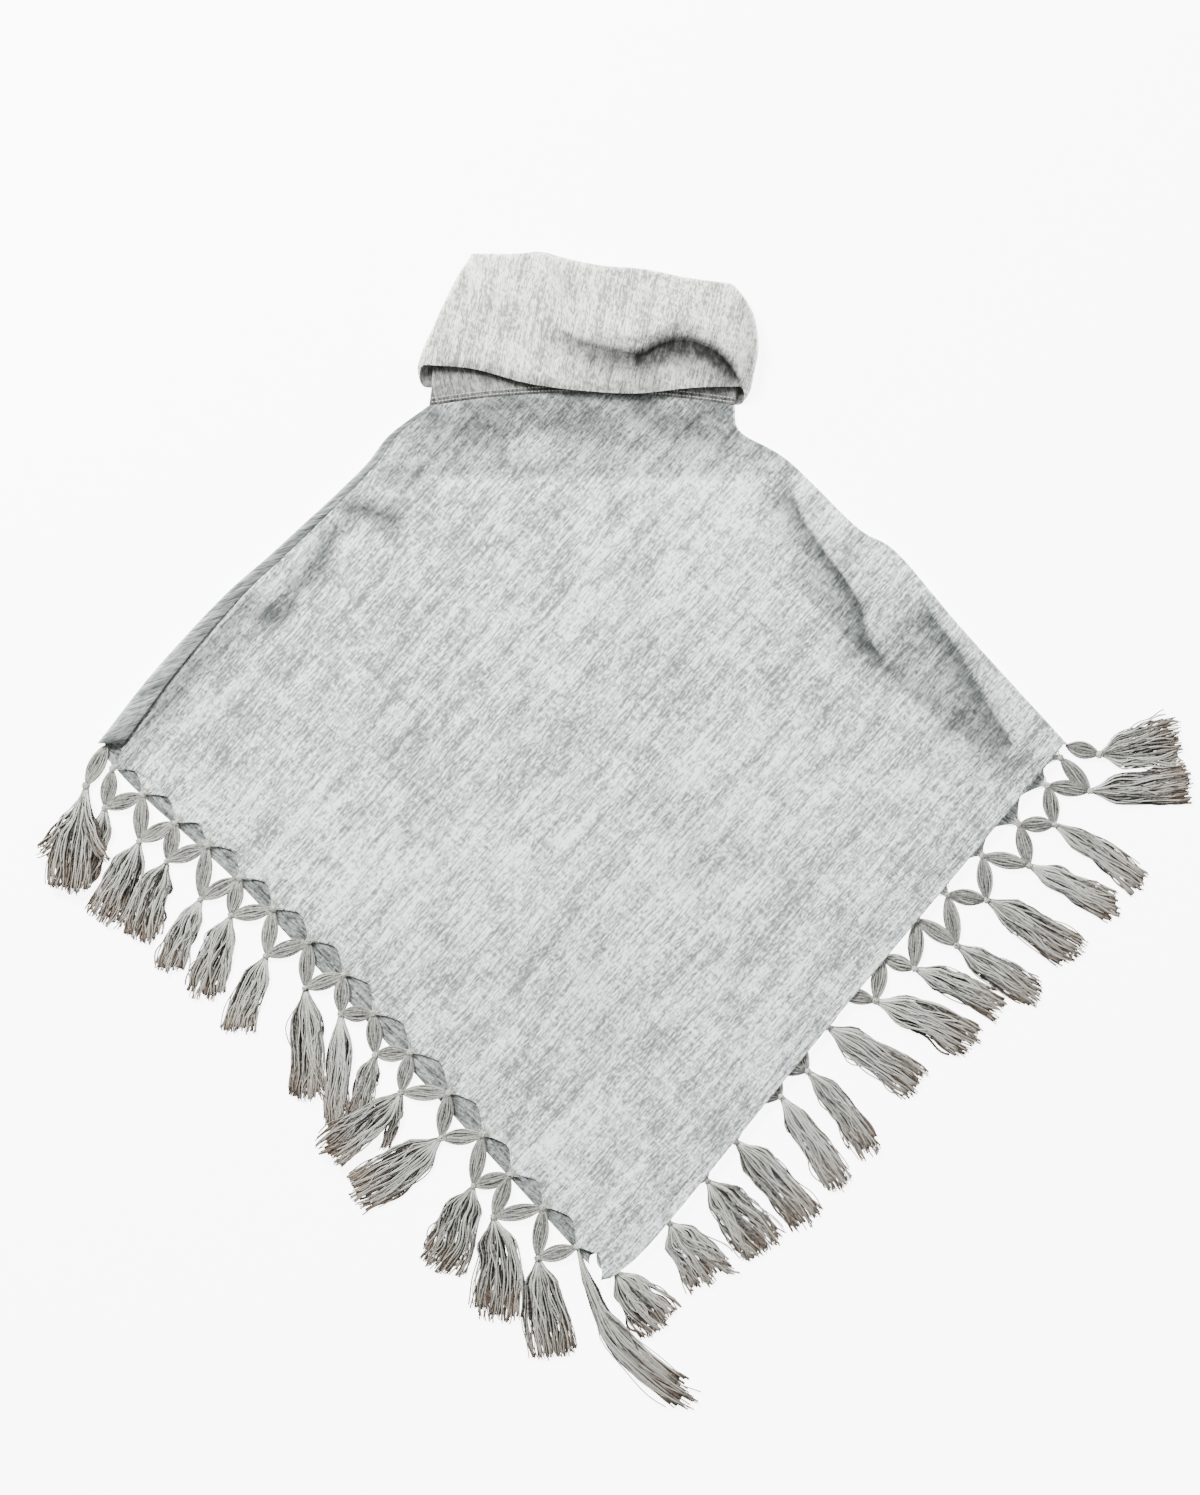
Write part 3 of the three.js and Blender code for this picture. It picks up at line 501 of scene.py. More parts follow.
@dataclass(frozen=True)
class Shoulder:
    """The rows of a panel from its seam to its folded edge.

    s is each row's share of the way from neck to corner, start and end its ends on the outline,
    toward the sign of the way from one to the other, and radius that of its fold.
    """

    s: Array
    start: Array
    end: Array
    toward: float
    radius: Array

    @property
    def outer(self) -> Array:
        """Where each row meets the folded edge."""
        return self.end[:, :1]

    @property
    def fold_start(self) -> Array:
        """Where each row begins to turn over."""
        return self.outer - self.turned

    @property
    def turned(self) -> Array:
        """How far the fold reaches in from the edge."""
        return self.radius * OBLIQUE * self.toward

    def upright(self, x: Array) -> Array:
        """Height on the plan along the rows: straight, with the neck's rise 4g(1-g)."""
        g = (x - self.start[:, :1]) / (self.outer - self.start[:, :1])
        rise = NECK_RISE * (1 - self.s) ** 2
        return mix(self.start[:, 1:], self.end[:, 1:], g) + rise * 4 * g * (1 - g)


@dataclass
class Panel:
    """One square of cloth on its corner: shoulder rows with the fold and strip, then the fringed hem."""

    name: str
    seam_line: Sequence[Sequence[float]]
    wrap_line: Sequence[Sequence[float]]
    seam_wrap: Wrap
    wrap: Wrap
    knots: Sequence[tuple[float, float]]
    tip: tuple[float, float]
    selvage: Sequence[Sequence[float]]
    threads: Thread
    layer: float
    creases: Sequence[Crease]
    shoulder_rows: int = 80
    rows_per_lobe: int = 9
    columns: int = 208
    strip_columns: int = 12
    fold_steps: int = 6
    dense_from: float = 0.6
    density: float = 2.3
    hem_rise: float = 0.5
    strip_shade: float = 0.0
    lowest: float = BACK_LEVEL + 1.4

    def level(self, from_edge: Array, s: Array) -> Array:
        """Level of the middle surface, without its creases."""
        raise NotImplementedError

    def strip(self, share: Array, start: Array, s: Array) -> Array:
        """Level of the strip that wraps round, by the share of the way from its fold to its edge."""
        raise NotImplementedError

    def dimness(self, plan: Array) -> Array:
        """Light lost to what lies above the cloth."""
        raise NotImplementedError

    def strip_dimness(self, share: Array, s: Array) -> Array:
        """Light lost on the strip, by the share of the way from its fold to its edge."""
        return self.strip_shade + 0 * share * s

    def hem_line(self) -> Array:
        """The scalloped edge: between knots it is set in by depth * (1 - |1 - 2t|^1.22).

        Returns:
            Its points, (n, 2).
        """
        stops = np.array([*self.knots, self.tip], float)
        t = np.arange(self.rows_per_lobe) / self.rows_per_lobe
        pieces = []
        for start, end in zip(stops[:-1], stops[1:]):
            chord = end - start
            size = np.linalg.norm(chord)
            inward = np.array([-chord[1], chord[0]]) / size
            inward *= 1.0 if inward[1] > 0 else -1.0
            depth = min(NOTCH_DEPTH, 0.3 * size)
            offset = KNOT_INSET + depth * (1 - np.abs(1 - 2 * t) ** 1.22)
            pieces.append(start + t[:, None] * chord + offset[:, None] * inward)
        return np.vstack([*pieces, self.tip])

    def shoulder(self) -> Shoulder:
        """The rows from seam to fold.

        Returns:
            The rows.
        """
        s = np.linspace(0, 1, self.shoulder_rows)[:, None]
        start, end = along(spline(self.seam_line), s[:, 0]), along(spline(self.wrap_line), s[:, 0])
        toward = math.copysign(1.0, self.wrap_line[0][0] - self.seam_line[0][0])
        return Shoulder(s, start, end, toward, self.wrap.radius(s))

    def spread(self, rows: Shoulder) -> tuple[Array, Array]:
        """The flat cloth on the plan: the shoulder's rows, then rows from hem to selvage.

        Args:
            rows: the shoulder's.

        Returns:
            Plan points (rows, columns, 2), and each row's share of the way from neck to corner.
        """
        f = graded(self.columns, self.dense_from, self.density)[None, :]
        inner = rows.start[:, :1] + (self.seam_wrap.width(rows.s) + SEAM_GAP) * rows.toward
        x = mix(inner, rows.fold_start, f)
        hem = self.hem_line()
        far = along(spline(self.selvage), np.linspace(0, 1, len(hem)))
        lower = mix(hem[:, None, :], far[:, None, :], f[..., None])
        plan = np.concatenate([np.stack([x, rows.upright(x)], axis=-1), lower])
        return plan, np.concatenate([rows.s, np.ones((len(hem), 1))])

    def relief(self, plan: Array, share: Array) -> tuple[Array, Array, Array]:
        """The flat cloth's heights: its level, creases, unevenness and hem.

        Args:
            plan: its points.
            share: each row's share of the way from neck to corner.

        Returns:
            Level, light lost and distance from the selvage.
        """
        from_edge = np.abs(plan[:, -1:, 0] - plan[..., 0])
        from_seam = np.abs(plan[..., 0] - plan[:, :1, 0])
        calm = smooth(np.minimum(from_edge, from_seam) / CALM_EDGE)
        bumps, dark = lay_creases(self.creases, plan)
        base = self.level(from_edge, share)
        z = base + (bumps + CREASE_LIFT + waves(plan, 95, 0.25, SEED)) * calm
        selvage, _, _ = from_curve(spline(self.selvage, 8), plan)
        selvage = np.where(share >= 1.0, selvage, NO_HEM)
        z += self.hem_rise * smooth((HEM_WIDTH - selvage) / HEM_STEP)
        z = np.maximum(z, np.minimum(self.lowest, base))
        return z, 1 - (1 - dark) * (1 - self.dimness(plan)), selvage

    def wrapped(self, rows: Shoulder, edge: Array) -> tuple[Array, Array]:
        """The cloth past the fold: half a turn round it, then the strip, flat.

        Args:
            rows: the shoulder's.
            edge: level at which each row begins to turn.

        Returns:
            Points (rows, columns, 3), and the same cloth unrolled on the plan.
        """
        angle = np.radians(np.linspace(0, 180, self.fold_steps + 1)[1:])[None, :]
        turn = np.where(edge > BACK_LEVEL + rows.radius, -1.0, 1.0)
        fold_x = rows.fold_start + rows.turned * np.sin(angle)
        fold_z = edge + turn * rows.radius * (1 - np.cos(angle))
        v = np.linspace(0, 1, self.strip_columns)[None, 1:]
        flat_x = mix(fold_x[:, -1:], rows.outer - self.wrap.width(rows.s) * rows.toward, v)
        x = np.concatenate([fold_x, flat_x], axis=1)
        y = rows.upright(x)
        z = np.concatenate([fold_z, self.strip(v, fold_z[:, -1:], rows.s)], axis=1)
        run = np.cumsum(np.abs(np.diff(np.concatenate([rows.fold_start, x], axis=1), axis=1)), axis=1)
        return np.dstack([x, y, z]), np.dstack([rows.fold_start + run * rows.toward, y])

    def build(self, look: bpy.types.Material) -> bpy.types.Object:
        """Lays out the rows, folds the shoulder strip and thickens the cloth.

        Args:
            look: the cloth's material.

        Returns:
            The panel.
        """
        rows = self.shoulder()
        plan, share = self.spread(rows)
        z, dark, selvage = self.relief(plan, share)
        strip, unrolled = self.wrapped(rows, z[: self.shoulder_rows, -1:])
        index = np.arange(z.size).reshape(z.shape)
        more = np.arange(strip[..., 0].size).reshape(strip.shape[:2]) + z.size
        past_fold = np.concatenate([index[: self.shoulder_rows, -1:], more], axis=1)
        across = np.linspace(0, 1, more.shape[1])[None, :]
        folded = self.strip_dimness(across, rows.s) * smooth(across * 3)
        cloth = Cloth(
            points=np.vstack([np.dstack([plan, z]).reshape(-1, 3), strip.reshape(-1, 3)]),
            quads=np.vstack([grid_faces(index), grid_faces(past_fold)]),
            threads=np.vstack([thread_frame(part, self.threads, self.layer).reshape(-1, 3)
                               for part in (plan, unrolled)]),
            shade=np.concatenate([dark.ravel(), folded.ravel()]),
            hem=np.concatenate([selvage.ravel(), np.full(more.size, NO_HEM)]))
        cloth.face_up(index[5, 5])
        return cloth.shell(self.name, CLOTH_THICKNESS, look)


@dataclass
class FrontPanel(Panel):
    """The front, whose seamed side meets the strip and whose other shoulder edge wraps under."""

    raised_width: float = 52.0
    slope_width: float = 60.0
    neck_shade: float = 0.26
    collar_shade: float = 0.4
    seam_shade: float = 0.55

    def level(self, from_edge: Array, s: Array) -> Array:
        """It rises from its own level to the top of its fold near the wrapped edge.

        Args:
            from_edge: distance from that edge along the rows.
            s: share of the way from neck to corner.

        Returns:
            The level.
        """
        edge = BACK_LEVEL + 2 * UNDER_WRAP.radius(s)
        near = 1 - smooth((from_edge - self.raised_width * s) / self.slope_width)
        return mix(np.full_like(from_edge, FRONT_LEVEL), edge, near)

    def dimness(self, plan: Array) -> Array:
        """The collar's shadow on the neck, in two steps and blotched, and the strip's beside it.

        Args:
            plan: points, (..., 2).

        Returns:
            The share of light lost.
        """
        y = plan[..., 1]
        steps = (self.neck_shade * smooth((y - NECK_SHADOW_END) / 7)
                 + self.collar_shade * smooth((y - COLLAR_SHADOW_END) / 40))
        neck = steps * (1 + waves(plan, 55, 0.14, SEED + 7))
        seam, side, _ = from_curve(spline(LEFT_SHOULDER, 6), plan)
        beside = np.exp(-(((seam - OVER_WRAP.corner_width - 2.5) / 10) ** 2)) * smooth((260 - y) / 160)
        return neck + self.seam_shade * beside * (side > 0)

    def strip(self, share: Array, start: Array, s: Array) -> Array:
        """Under the garment, flat on the surface beside the back."""
        return np.broadcast_to(mix(start, BACK_LEVEL, smooth(share * 2)), (len(s), share.shape[1]))


# Slanting sine waves along the wrapped strip, as height, length and slant: its crumples, and the waves of
# the painted shade on it
STRIP_CRUMPLES = ((0.45, 8.3, 5), (0.35, 5.1, -4))
STRIP_SHADE_WAVES = ((0.6, 9.7, 3), (0.4, 4.3, 7))


def ripples(table: Sequence[tuple[float, float, float]], share: Array, s: Array) -> Array:
    """Sum of height * sin(run / length + slant * share) along and across a strip.

    Args:
        table: height, length and slant of each wave.
        share: of the way across the strip.
        s: share of the way along it.

    Returns:
        The sum at each place.
    """
    run = s * SHOULDER_LENGTH
    return sum(height * np.sin(run / length + slant * share) for height, length, slant in table)


@dataclass
class BackPanel(Panel):
    """The back, flat on the surface, whose left shoulder edge wraps over to the front."""

    shadow_shade: float = 0.64
    shadow_width: float = 70.0
    lip: float = 2.2
    unevenness: float = 0.22

    def level(self, from_edge: Array, s: Array) -> Array:
        """Flat."""
        return np.full_like(from_edge, BACK_LEVEL)

    def strip(self, share: Array, start: Array, s: Array) -> Array:
        """Over the front's edge: full at first, then down to the seam, which it meets with a lip,
        and crumpled by two slanting sine waves.

        Args:
            share: of the way from its fold to its edge.
            start: level at its fold.
            s: share of the way from neck to corner.

        Returns:
            The level.
        """
        low = FRONT_LEVEL + 0.4 + self.lip * smooth((s - 0.55) / 0.45)
        crumple = ripples(STRIP_CRUMPLES, share, s) * np.sin(math.pi * share) * smooth(s * 3)
        return mix(start, low, share**2.2) + crumple

    def strip_dimness(self, share: Array, s: Array) -> Array:
        """Light lost on the strip, uneven as its crumples are."""
        return self.strip_shade * (1 + self.unevenness * ripples(STRIP_SHADE_WAVES, share, s))

    def dimness(self, plan: Array) -> Array:
        """It lies in the front's shadow where it shows past the front's edges.

        Args:
            plan: points, (..., 2).

        Returns:
            The share of light lost.
        """
        left, _, _ = from_curve(spline(BACK_SELVAGE, 4), plan)
        right, _, _ = from_curve(spline([row.edge for row in BACK_FRINGE], 3), plan)
        return self.shadow_shade * smooth((self.shadow_width - np.minimum(left, right)) / 30)


# The collar's outlines, left to right at sixths of the width. Its turned-down part hangs from
# the top fold to the free edge.
NECK_SEAM = (384.0, 390.1, 393.8, 395.0, 393.8, 390.1, 384.0)
TOP_FOLD = (519.5, 518.8, 515.8, 508.7, 505.4, 497.6, 492.6)
FREE_EDGE = (419.6, 415.4, 402.5, 396.0, 393.5, 398.5, 400.0)


@dataclass(frozen=True)
class Bump:
    """A bell on an outline: its place along it, its width and its height."""

    place: float
    width: float
    height: float

    def rise(self, x: Array) -> Array:
        """How much higher it makes the outline at x."""
        return self.height * np.exp(-(((x - self.place) / self.width) ** 2))


TOP_BUMP = Bump(-68, 16, 3.6)
SIXTHS = np.linspace(0, 1, 7)


@dataclass(frozen=True)
class Ring:
    """A ring of the collar: its ends, share of the way between outlines, levels, and how much
    lower its back lies on the plan."""

    name: str
    left: float
    right: float
    share: float
    front: float
    back: float
    drop: float = 0.0


STAND_RINGS = (
    Ring("neck seam", -168, 106, 0.0, 3.6, 0.75),
    Ring("low stand", -166, 107, 0.1, 5.4, 3.0),
    Ring("middle stand", -160, 109, 0.45, 6.0, 3.4),
    Ring("high stand", -134, 103, 0.9, 6.2, 3.6),
    Ring("stand under the fold", -131, 102, 0.97, 6.8, 3.2),
)
TURNED_RINGS = (
    Ring("top fold", -130, 103, 0.0, 8.2, 2.0),
    Ring("over the top", -132, 108, 0.05, 10.8, 1.2),
    Ring("upper", -141, 117, 0.18, 13.0, 0.9),
    Ring("shoulder of the roll", -150, 124, 0.35, 14.0, 0.9),
    Ring("middle", -162, 127, 0.6, 14.6, 0.9, 3),
    Ring("lower", -173.5, 123, 0.83, 14.6, 0.9, 9),
    Ring("roll", -178, 120, 0.95, 13.6, 0.9, 15),
    Ring("free edge", -177, 115, 1.0, 12.4, 0.9, 19),
)
NECK_LEFT, NECK_RIGHT = -168.0, 106.0
COLLAR_LAYER = 7.0
STITCHES = 88
STITCH_HEIGHTS = (2.4, 6.0)
COLLAR_CREASES = (
    Crease("roll over the crease", ((-36, 456), (0, 446), (30, 448), (52, 457), (78, 454), (104, 438),
                                    (120, 404)), 4.6, 20, 6, 0.0, 0.22),
    Crease("crease", ((-62, 453), (-42, 442), (-15, 432), (14, 427), (26, 430), (38, 437), (51, 441),
                      (66, 440.5), (80, 436), (92, 429), (102, 418), (110, 404), (114, 386)),
           -5.2, 4.5, 13, 0.66, 0.16, 6, 18),
    Crease("deep end of the crease", ((6, 425), (16, 427), (26, 430), (38, 437), (51, 441), (66, 440.5),
                                      (80, 436), (92, 429), (102, 418), (110, 404), (115, 384)),
           -1.5, 4, 8, 0.95, 0.14, 3.2, 18),
    Crease("depth of the crease", ((30, 424), (50, 431), (74, 430), (92, 420), (104, 404)),
           0.0, 7, 8, 0.72, 0.3),
    Crease("soft start of the crease", ((-76, 446), (-42, 440), (-12, 433), (24, 428)),
           0.0, 8, 13, 0.5, 0.3),
    Crease("shadow below the crease", ((-44, 428), (0, 420), (50, 422), (94, 410)), 0.0, 14, 15, 0.56, 0.3),
    Crease("bulge", ((-20, 410), (30, 411), (70, 413), (100, 404)), 3.0, 9, 10, 0.0, 0.3),
    Crease("right end", ((116, 486), (128, 446), (116, 408)), 0.0, 15, 15, 0.55, 0.1, 6, 15),
    Crease("lower edge", ((-176, 418), (-120, 414), (-60, 401), (0, 397), (60, 398)), 0.0, 5, 5, 0.46, 0.1),
    Crease("right top dent", ((70, 476), (92, 470)), -1.2, 9, 9, 0.24, 0.4),
    Crease("left soft fall", ((-120, 505), (-132, 470), (-150, 440)), 0.8, 16, 16, 0.0, 0.3),
    Crease("upper dent", ((-58, 516), (-40, 494), (-30, 470)), -0.8, 12, 12, 0.2, 0.4),
    Crease("left edge", ((-134, 512), (-150, 478), (-172, 432)), 0.0, 7, 7, 0.26, 0.1),
    Crease("top edge", ((-128, 517), (-40, 514), (20, 504), (98, 492)), 0.0, 5, 5, 0.24, 0.05),
)


@dataclass
class Collar:
    """The cowl: one tube of cloth, up from the neck seam and turned down outwards.

    Its front is fineness times finer past fine_from of the width. The bump in the top edge dies out
    at bump_reach of the way down, and the creases are full past crease_start.
    """

    name: str = "collar_cloth"
    front_columns: int = 226
    back_columns: int = 48
    end_columns: int = 9
    stand_rows: int = 30
    turned_rows: int = 106
    fine_from: float = 0.42
    fineness: float = 2.0
    bump_reach: float = 0.3
    crease_start: float = 0.12
    rear_shade: float = 0.78
    stand_shade: float = 0.7
    under_roll_shade: float = 0.2

    def rings(self, table: Sequence[Ring], stations: Array) -> Array:
        """A smooth curve through the rings' numbers, read at the stations.

        The share counts as a hundred millimetres, so that the rings lie evenly over the cloth.

        Args:
            table: the rings.
            stations: from 0 to 1.

        Returns:
            A row of (left, right, share, front, back, drop) for each station.
        """
        numbers = [[r.left, r.right, r.share * 100, r.front, r.back, r.drop] for r in table]
        fine = along(spline(numbers, 16), stations)
        fine[:, 2] /= 100
        return fine

    def outline(self, heights: Sequence[float], f: Array) -> Array:
        """Height of an outline at the share f of the width, on a smooth curve through its sixths."""
        curve = spline(np.stack([SIXTHS, np.asarray(heights)], axis=-1), 16)
        return np.interp(f, curve[:, 0], curve[:, 1])

    def lay(self, table: Sequence[Ring], stations: Array, low: Sequence[float], high: Sequence[float],
            folded: bool) -> tuple[Array, Array]:
        """One part of the tube as rings of points, and the light that its creases lose.

        Args:
            table: its rings.
            stations: where along them rings are laid, from 0 to 1.
            low: outline where the ring's share is 0, at sixths of the width.
            high: outline where the share is 1.
            folded: whether it is the turned-down part, with its creases.

        Returns:
            Points (rows, columns, 3) and shade (rows, columns).
        """
        left, right, share, front, back, drop = self.rings(table, stations).T[:, :, None]
        radius, middle = (front - back) / 2, (front + back) / 2
        turn = np.radians(np.linspace(90, -90, self.end_columns + 2)[1:-1])[None, :]
        face = graded(self.front_columns, self.fine_from, self.fineness)[None, :]
        rear = np.linspace(1, 0, self.back_columns)[None, :]
        bulge = radius * np.cos(turn)
        x = np.concatenate([mix(left + radius, right - radius, face), right - radius + bulge,
                            mix(left + radius, right - radius, rear),
                            (left + radius - bulge)[:, ::-1]], axis=1)
        ends = middle + radius * np.sin(turn)
        z = np.concatenate([front + 0 * face, ends, back + 0 * rear, ends[:, ::-1]], axis=1)
        under = (front - z) / (front - back)
        f = (x - left) / (right - left)
        y = mix(self.outline(low, f), self.outline(high, f), share) - drop * under * mix(1.0, 0.8, f)
        if not folded:
            return np.stack([x, y, z], axis=-1), np.zeros_like(x)
        y = y + TOP_BUMP.rise(x) * (1 - smooth(share / self.bump_reach))
        plan = np.stack([x, y], axis=-1)
        rise, dark = lay_creases(COLLAR_CREASES, plan)
        on_top = smooth(1 - under * 3) * smooth(share / self.crease_start)
        calm = smooth(np.minimum(f, 1 - f) * 14)
        z = z + (rise + waves(plan, 70, 0.3, SEED + 3)) * on_top * calm
        shade = dark * on_top + self.rear_shade * smooth((under - 0.45) / 0.3)
        return np.stack([x, y, z], axis=-1), shade

    def stand(self) -> tuple[Array, Array]:
        """The part that stands up from the neck seam."""
        return self.lay(STAND_RINGS, np.linspace(0, 1, self.stand_rows), NECK_SEAM, TOP_FOLD, False)

    def turned(self) -> tuple[Array, Array]:
        """The part that is turned down, its rings closer towards the free edge."""
        return self.lay(TURNED_RINGS, graded(self.turned_rows, 0.4, 1.7), TOP_FOLD, FREE_EDGE, True)

    def stitches(self, look: bpy.types.Material) -> bpy.types.Object:
        """Two rows of stitches round the front of the stand, each a short thread laid along its row.

        Args:
            look: the thread's material.

        Returns:
            The joined stitches.
        """
        stand = self.stand()[0][:, : self.front_columns]
        yarns = Yarns("collar_stitches")
        share = (np.arange(STITCHES)[:, None] + np.linspace(0.08, 0.66, 4)[None, :]) / STITCHES
        way = stand[2] - stand[0]
        way /= np.linalg.norm(way, axis=-1, keepdims=True)
        for height in STITCH_HEIGHTS:
            paths = along(stand[0] + way * height, share.ravel()).reshape(STITCHES, 4, 3)
            paths[..., 2] += CLOTH_THICKNESS / 2 + np.array([-0.3, 0.4, 0.4, -0.3])
            radii = np.full(paths.shape[:2], 0.5)
            yarns.add(paths, radii, np.full(STITCHES, 1.0), 0 * radii)
        return yarns.build(look)

    def build(self, look: bpy.types.Material) -> bpy.types.Object:
        """Joins stand and turned-down part into one tube and thickens it.

        Args:
            look: the cloth's material.

        Returns:
            The collar.
        """
        stand, _ = self.stand()
        turned, turned_shade = self.turned()
        shape = np.concatenate([stand, turned])
        across = np.clip((stand[..., 0] - NECK_LEFT) / (NECK_RIGHT - NECK_LEFT), 0, 1)
        above_edge = stand[..., 1] - self.outline(FREE_EDGE, across) + 12
        stand_shade = self.stand_shade + self.under_roll_shade * smooth(above_edge / 16)
        rows, columns = shape.shape[:2]
        index = np.arange(rows * columns).reshape(rows, columns)
        step = np.linalg.norm(np.diff(shape, axis=0), axis=-1)
        up = np.concatenate([np.zeros((1, columns)), np.cumsum(step, axis=0)])
        angle = math.radians(90 - Thread.COLLAR.value)
        threads = np.stack([up * math.cos(angle) - shape[..., 0] * math.sin(angle),
                            up * math.sin(angle) + shape[..., 0] * math.cos(angle),
                            np.full_like(up, COLLAR_LAYER)], axis=-1)
        cloth = Cloth(
            points=shape.reshape(-1, 3),
            quads=grid_faces(np.concatenate([index, index[:, :1]], axis=1)),
            threads=threads.reshape(-1, 3),
            shade=np.concatenate([stand_shade, turned_shade]).ravel(),
            hem=(STITCH_LINE + up - np.mean(STITCH_HEIGHTS)).ravel())
        cloth.face_up(index[self.stand_rows + 20, self.front_columns // 3])
        return cloth.shell(self.name, CLOTH_THICKNESS, look)


def tubes(paths: Array, radii: Array, sides: int = 4, looped: bool = False) -> tuple[Array, list[Array]]:
    """Round strands swept along paths, with their ends closed.

    Args:
        paths: (strands, stations, 3).
        radii: (strands, stations).
        sides: of the section.
        looped: whether each path closes on itself.

    Returns:
        Vertices (n, 3) and index arrays of quads.
    """
    strands, stations = paths.shape[:2]
    if looped:
        way = np.roll(paths, -1, axis=1) - np.roll(paths, 1, axis=1)
    else:
        way = np.gradient(paths, axis=1)
    way /= np.maximum(np.linalg.norm(way, axis=-1, keepdims=True), 1e-9)
    upward = np.where(np.abs(way[..., 2:]) > 0.9, [[[1.0, 0.0, 0.0]]], [[[0.0, 0.0, 1.0]]])
    side = np.cross(way, upward)
    side /= np.maximum(np.linalg.norm(side, axis=-1, keepdims=True), 1e-9)
    top = np.cross(side, way)
    angle = 2 * math.pi * (np.arange(sides) + 0.5) / sides
    ring = (side[:, :, None] * np.cos(angle)[:, None] + top[:, :, None] * np.sin(angle)[:, None])
    points = paths[:, :, None] + ring * radii[:, :, None, None]
    index = np.arange(strands * stations * sides).reshape(strands, stations, sides)
    a = index if looped else index[:, :-1]
    b = np.roll(index, -1, axis=1) if looped else index[:, 1:]
    walls = np.stack([a, np.roll(a, -1, axis=2), np.roll(b, -1, axis=2), b], axis=-1).reshape(-1, 4)
    faces = [walls]
    if not looped and sides in (3, 4):
        faces += [index[:, 0, ::-1], index[:, -1]]
    return points.reshape(-1, 3), faces


@dataclass
class Yarns:
    """Strands gathered into one mesh, with each strand's tint (random tone, with painted shade inside legs
    and low in tassels) and the place along for each vertex.
    """

    name: str
    points: list[Array] = field(default_factory=list)
    faces: list[Array] = field(default_factory=list)
    strand: list[Array] = field(default_factory=list)
    place: list[Array] = field(default_factory=list)
    count: int = 0

    def add(self, paths: Array, radii: Array, tints: Array, places: Array, sides: int = 4,
            looped: bool = False) -> None:
        """Adds strands.

        Args:
            paths: (strands, stations, 3).
            radii: (strands, stations).
            tints: a number from 0 to 1 for each strand.
            places: share of the tassel's length at each station, (strands, stations).
            sides: of the section.
            looped: whether each path closes on itself.
        """
        points, faces = tubes(paths, radii, sides, looped)
        stations = paths.shape[1]
        self.points.append(points)
        self.faces += [f + self.count for f in faces]
        self.strand.append(np.repeat(tints, stations * sides))
        self.place.append(np.repeat(places.reshape(-1), sides))
        self.count += len(points)

    def build(self, look: bpy.types.Material) -> bpy.types.Object:
        """The joined mesh."""
        values = {"strand": np.concatenate(self.strand), "place": np.concatenate(self.place)}
        return make_piece(self.name, np.vstack(self.points), self.faces, look, values)


@dataclass(frozen=True)
class LegLayer:
    """One layer of a leg's strands: how many, its size within the leg, and their radius and tints."""

    name: str
    strands: int
    size: float
    radius: float
    tints: tuple[float, float] | None = None


LEG_LAYERS = (
    LegLayer("skin", 23, 1.0, 0.68, (0.3, 0.88)),
    LegLayer("filling", 10, 0.72, 1.4),
    LegLayer("core", 6, 0.3, 1.6),
)
# Tint of the filling and core strands: dark, a painted shade inside the leg between its skin strands
LEG_SHADE_TINT = 0.28
KNOT_LOOPS = 7
KNOT_FLATNESS = 0.62
KNOT_YARN = 0.85
FAN_STRANDS = 11
FAN_ANGLE = 52
FAN_YARN = 0.62


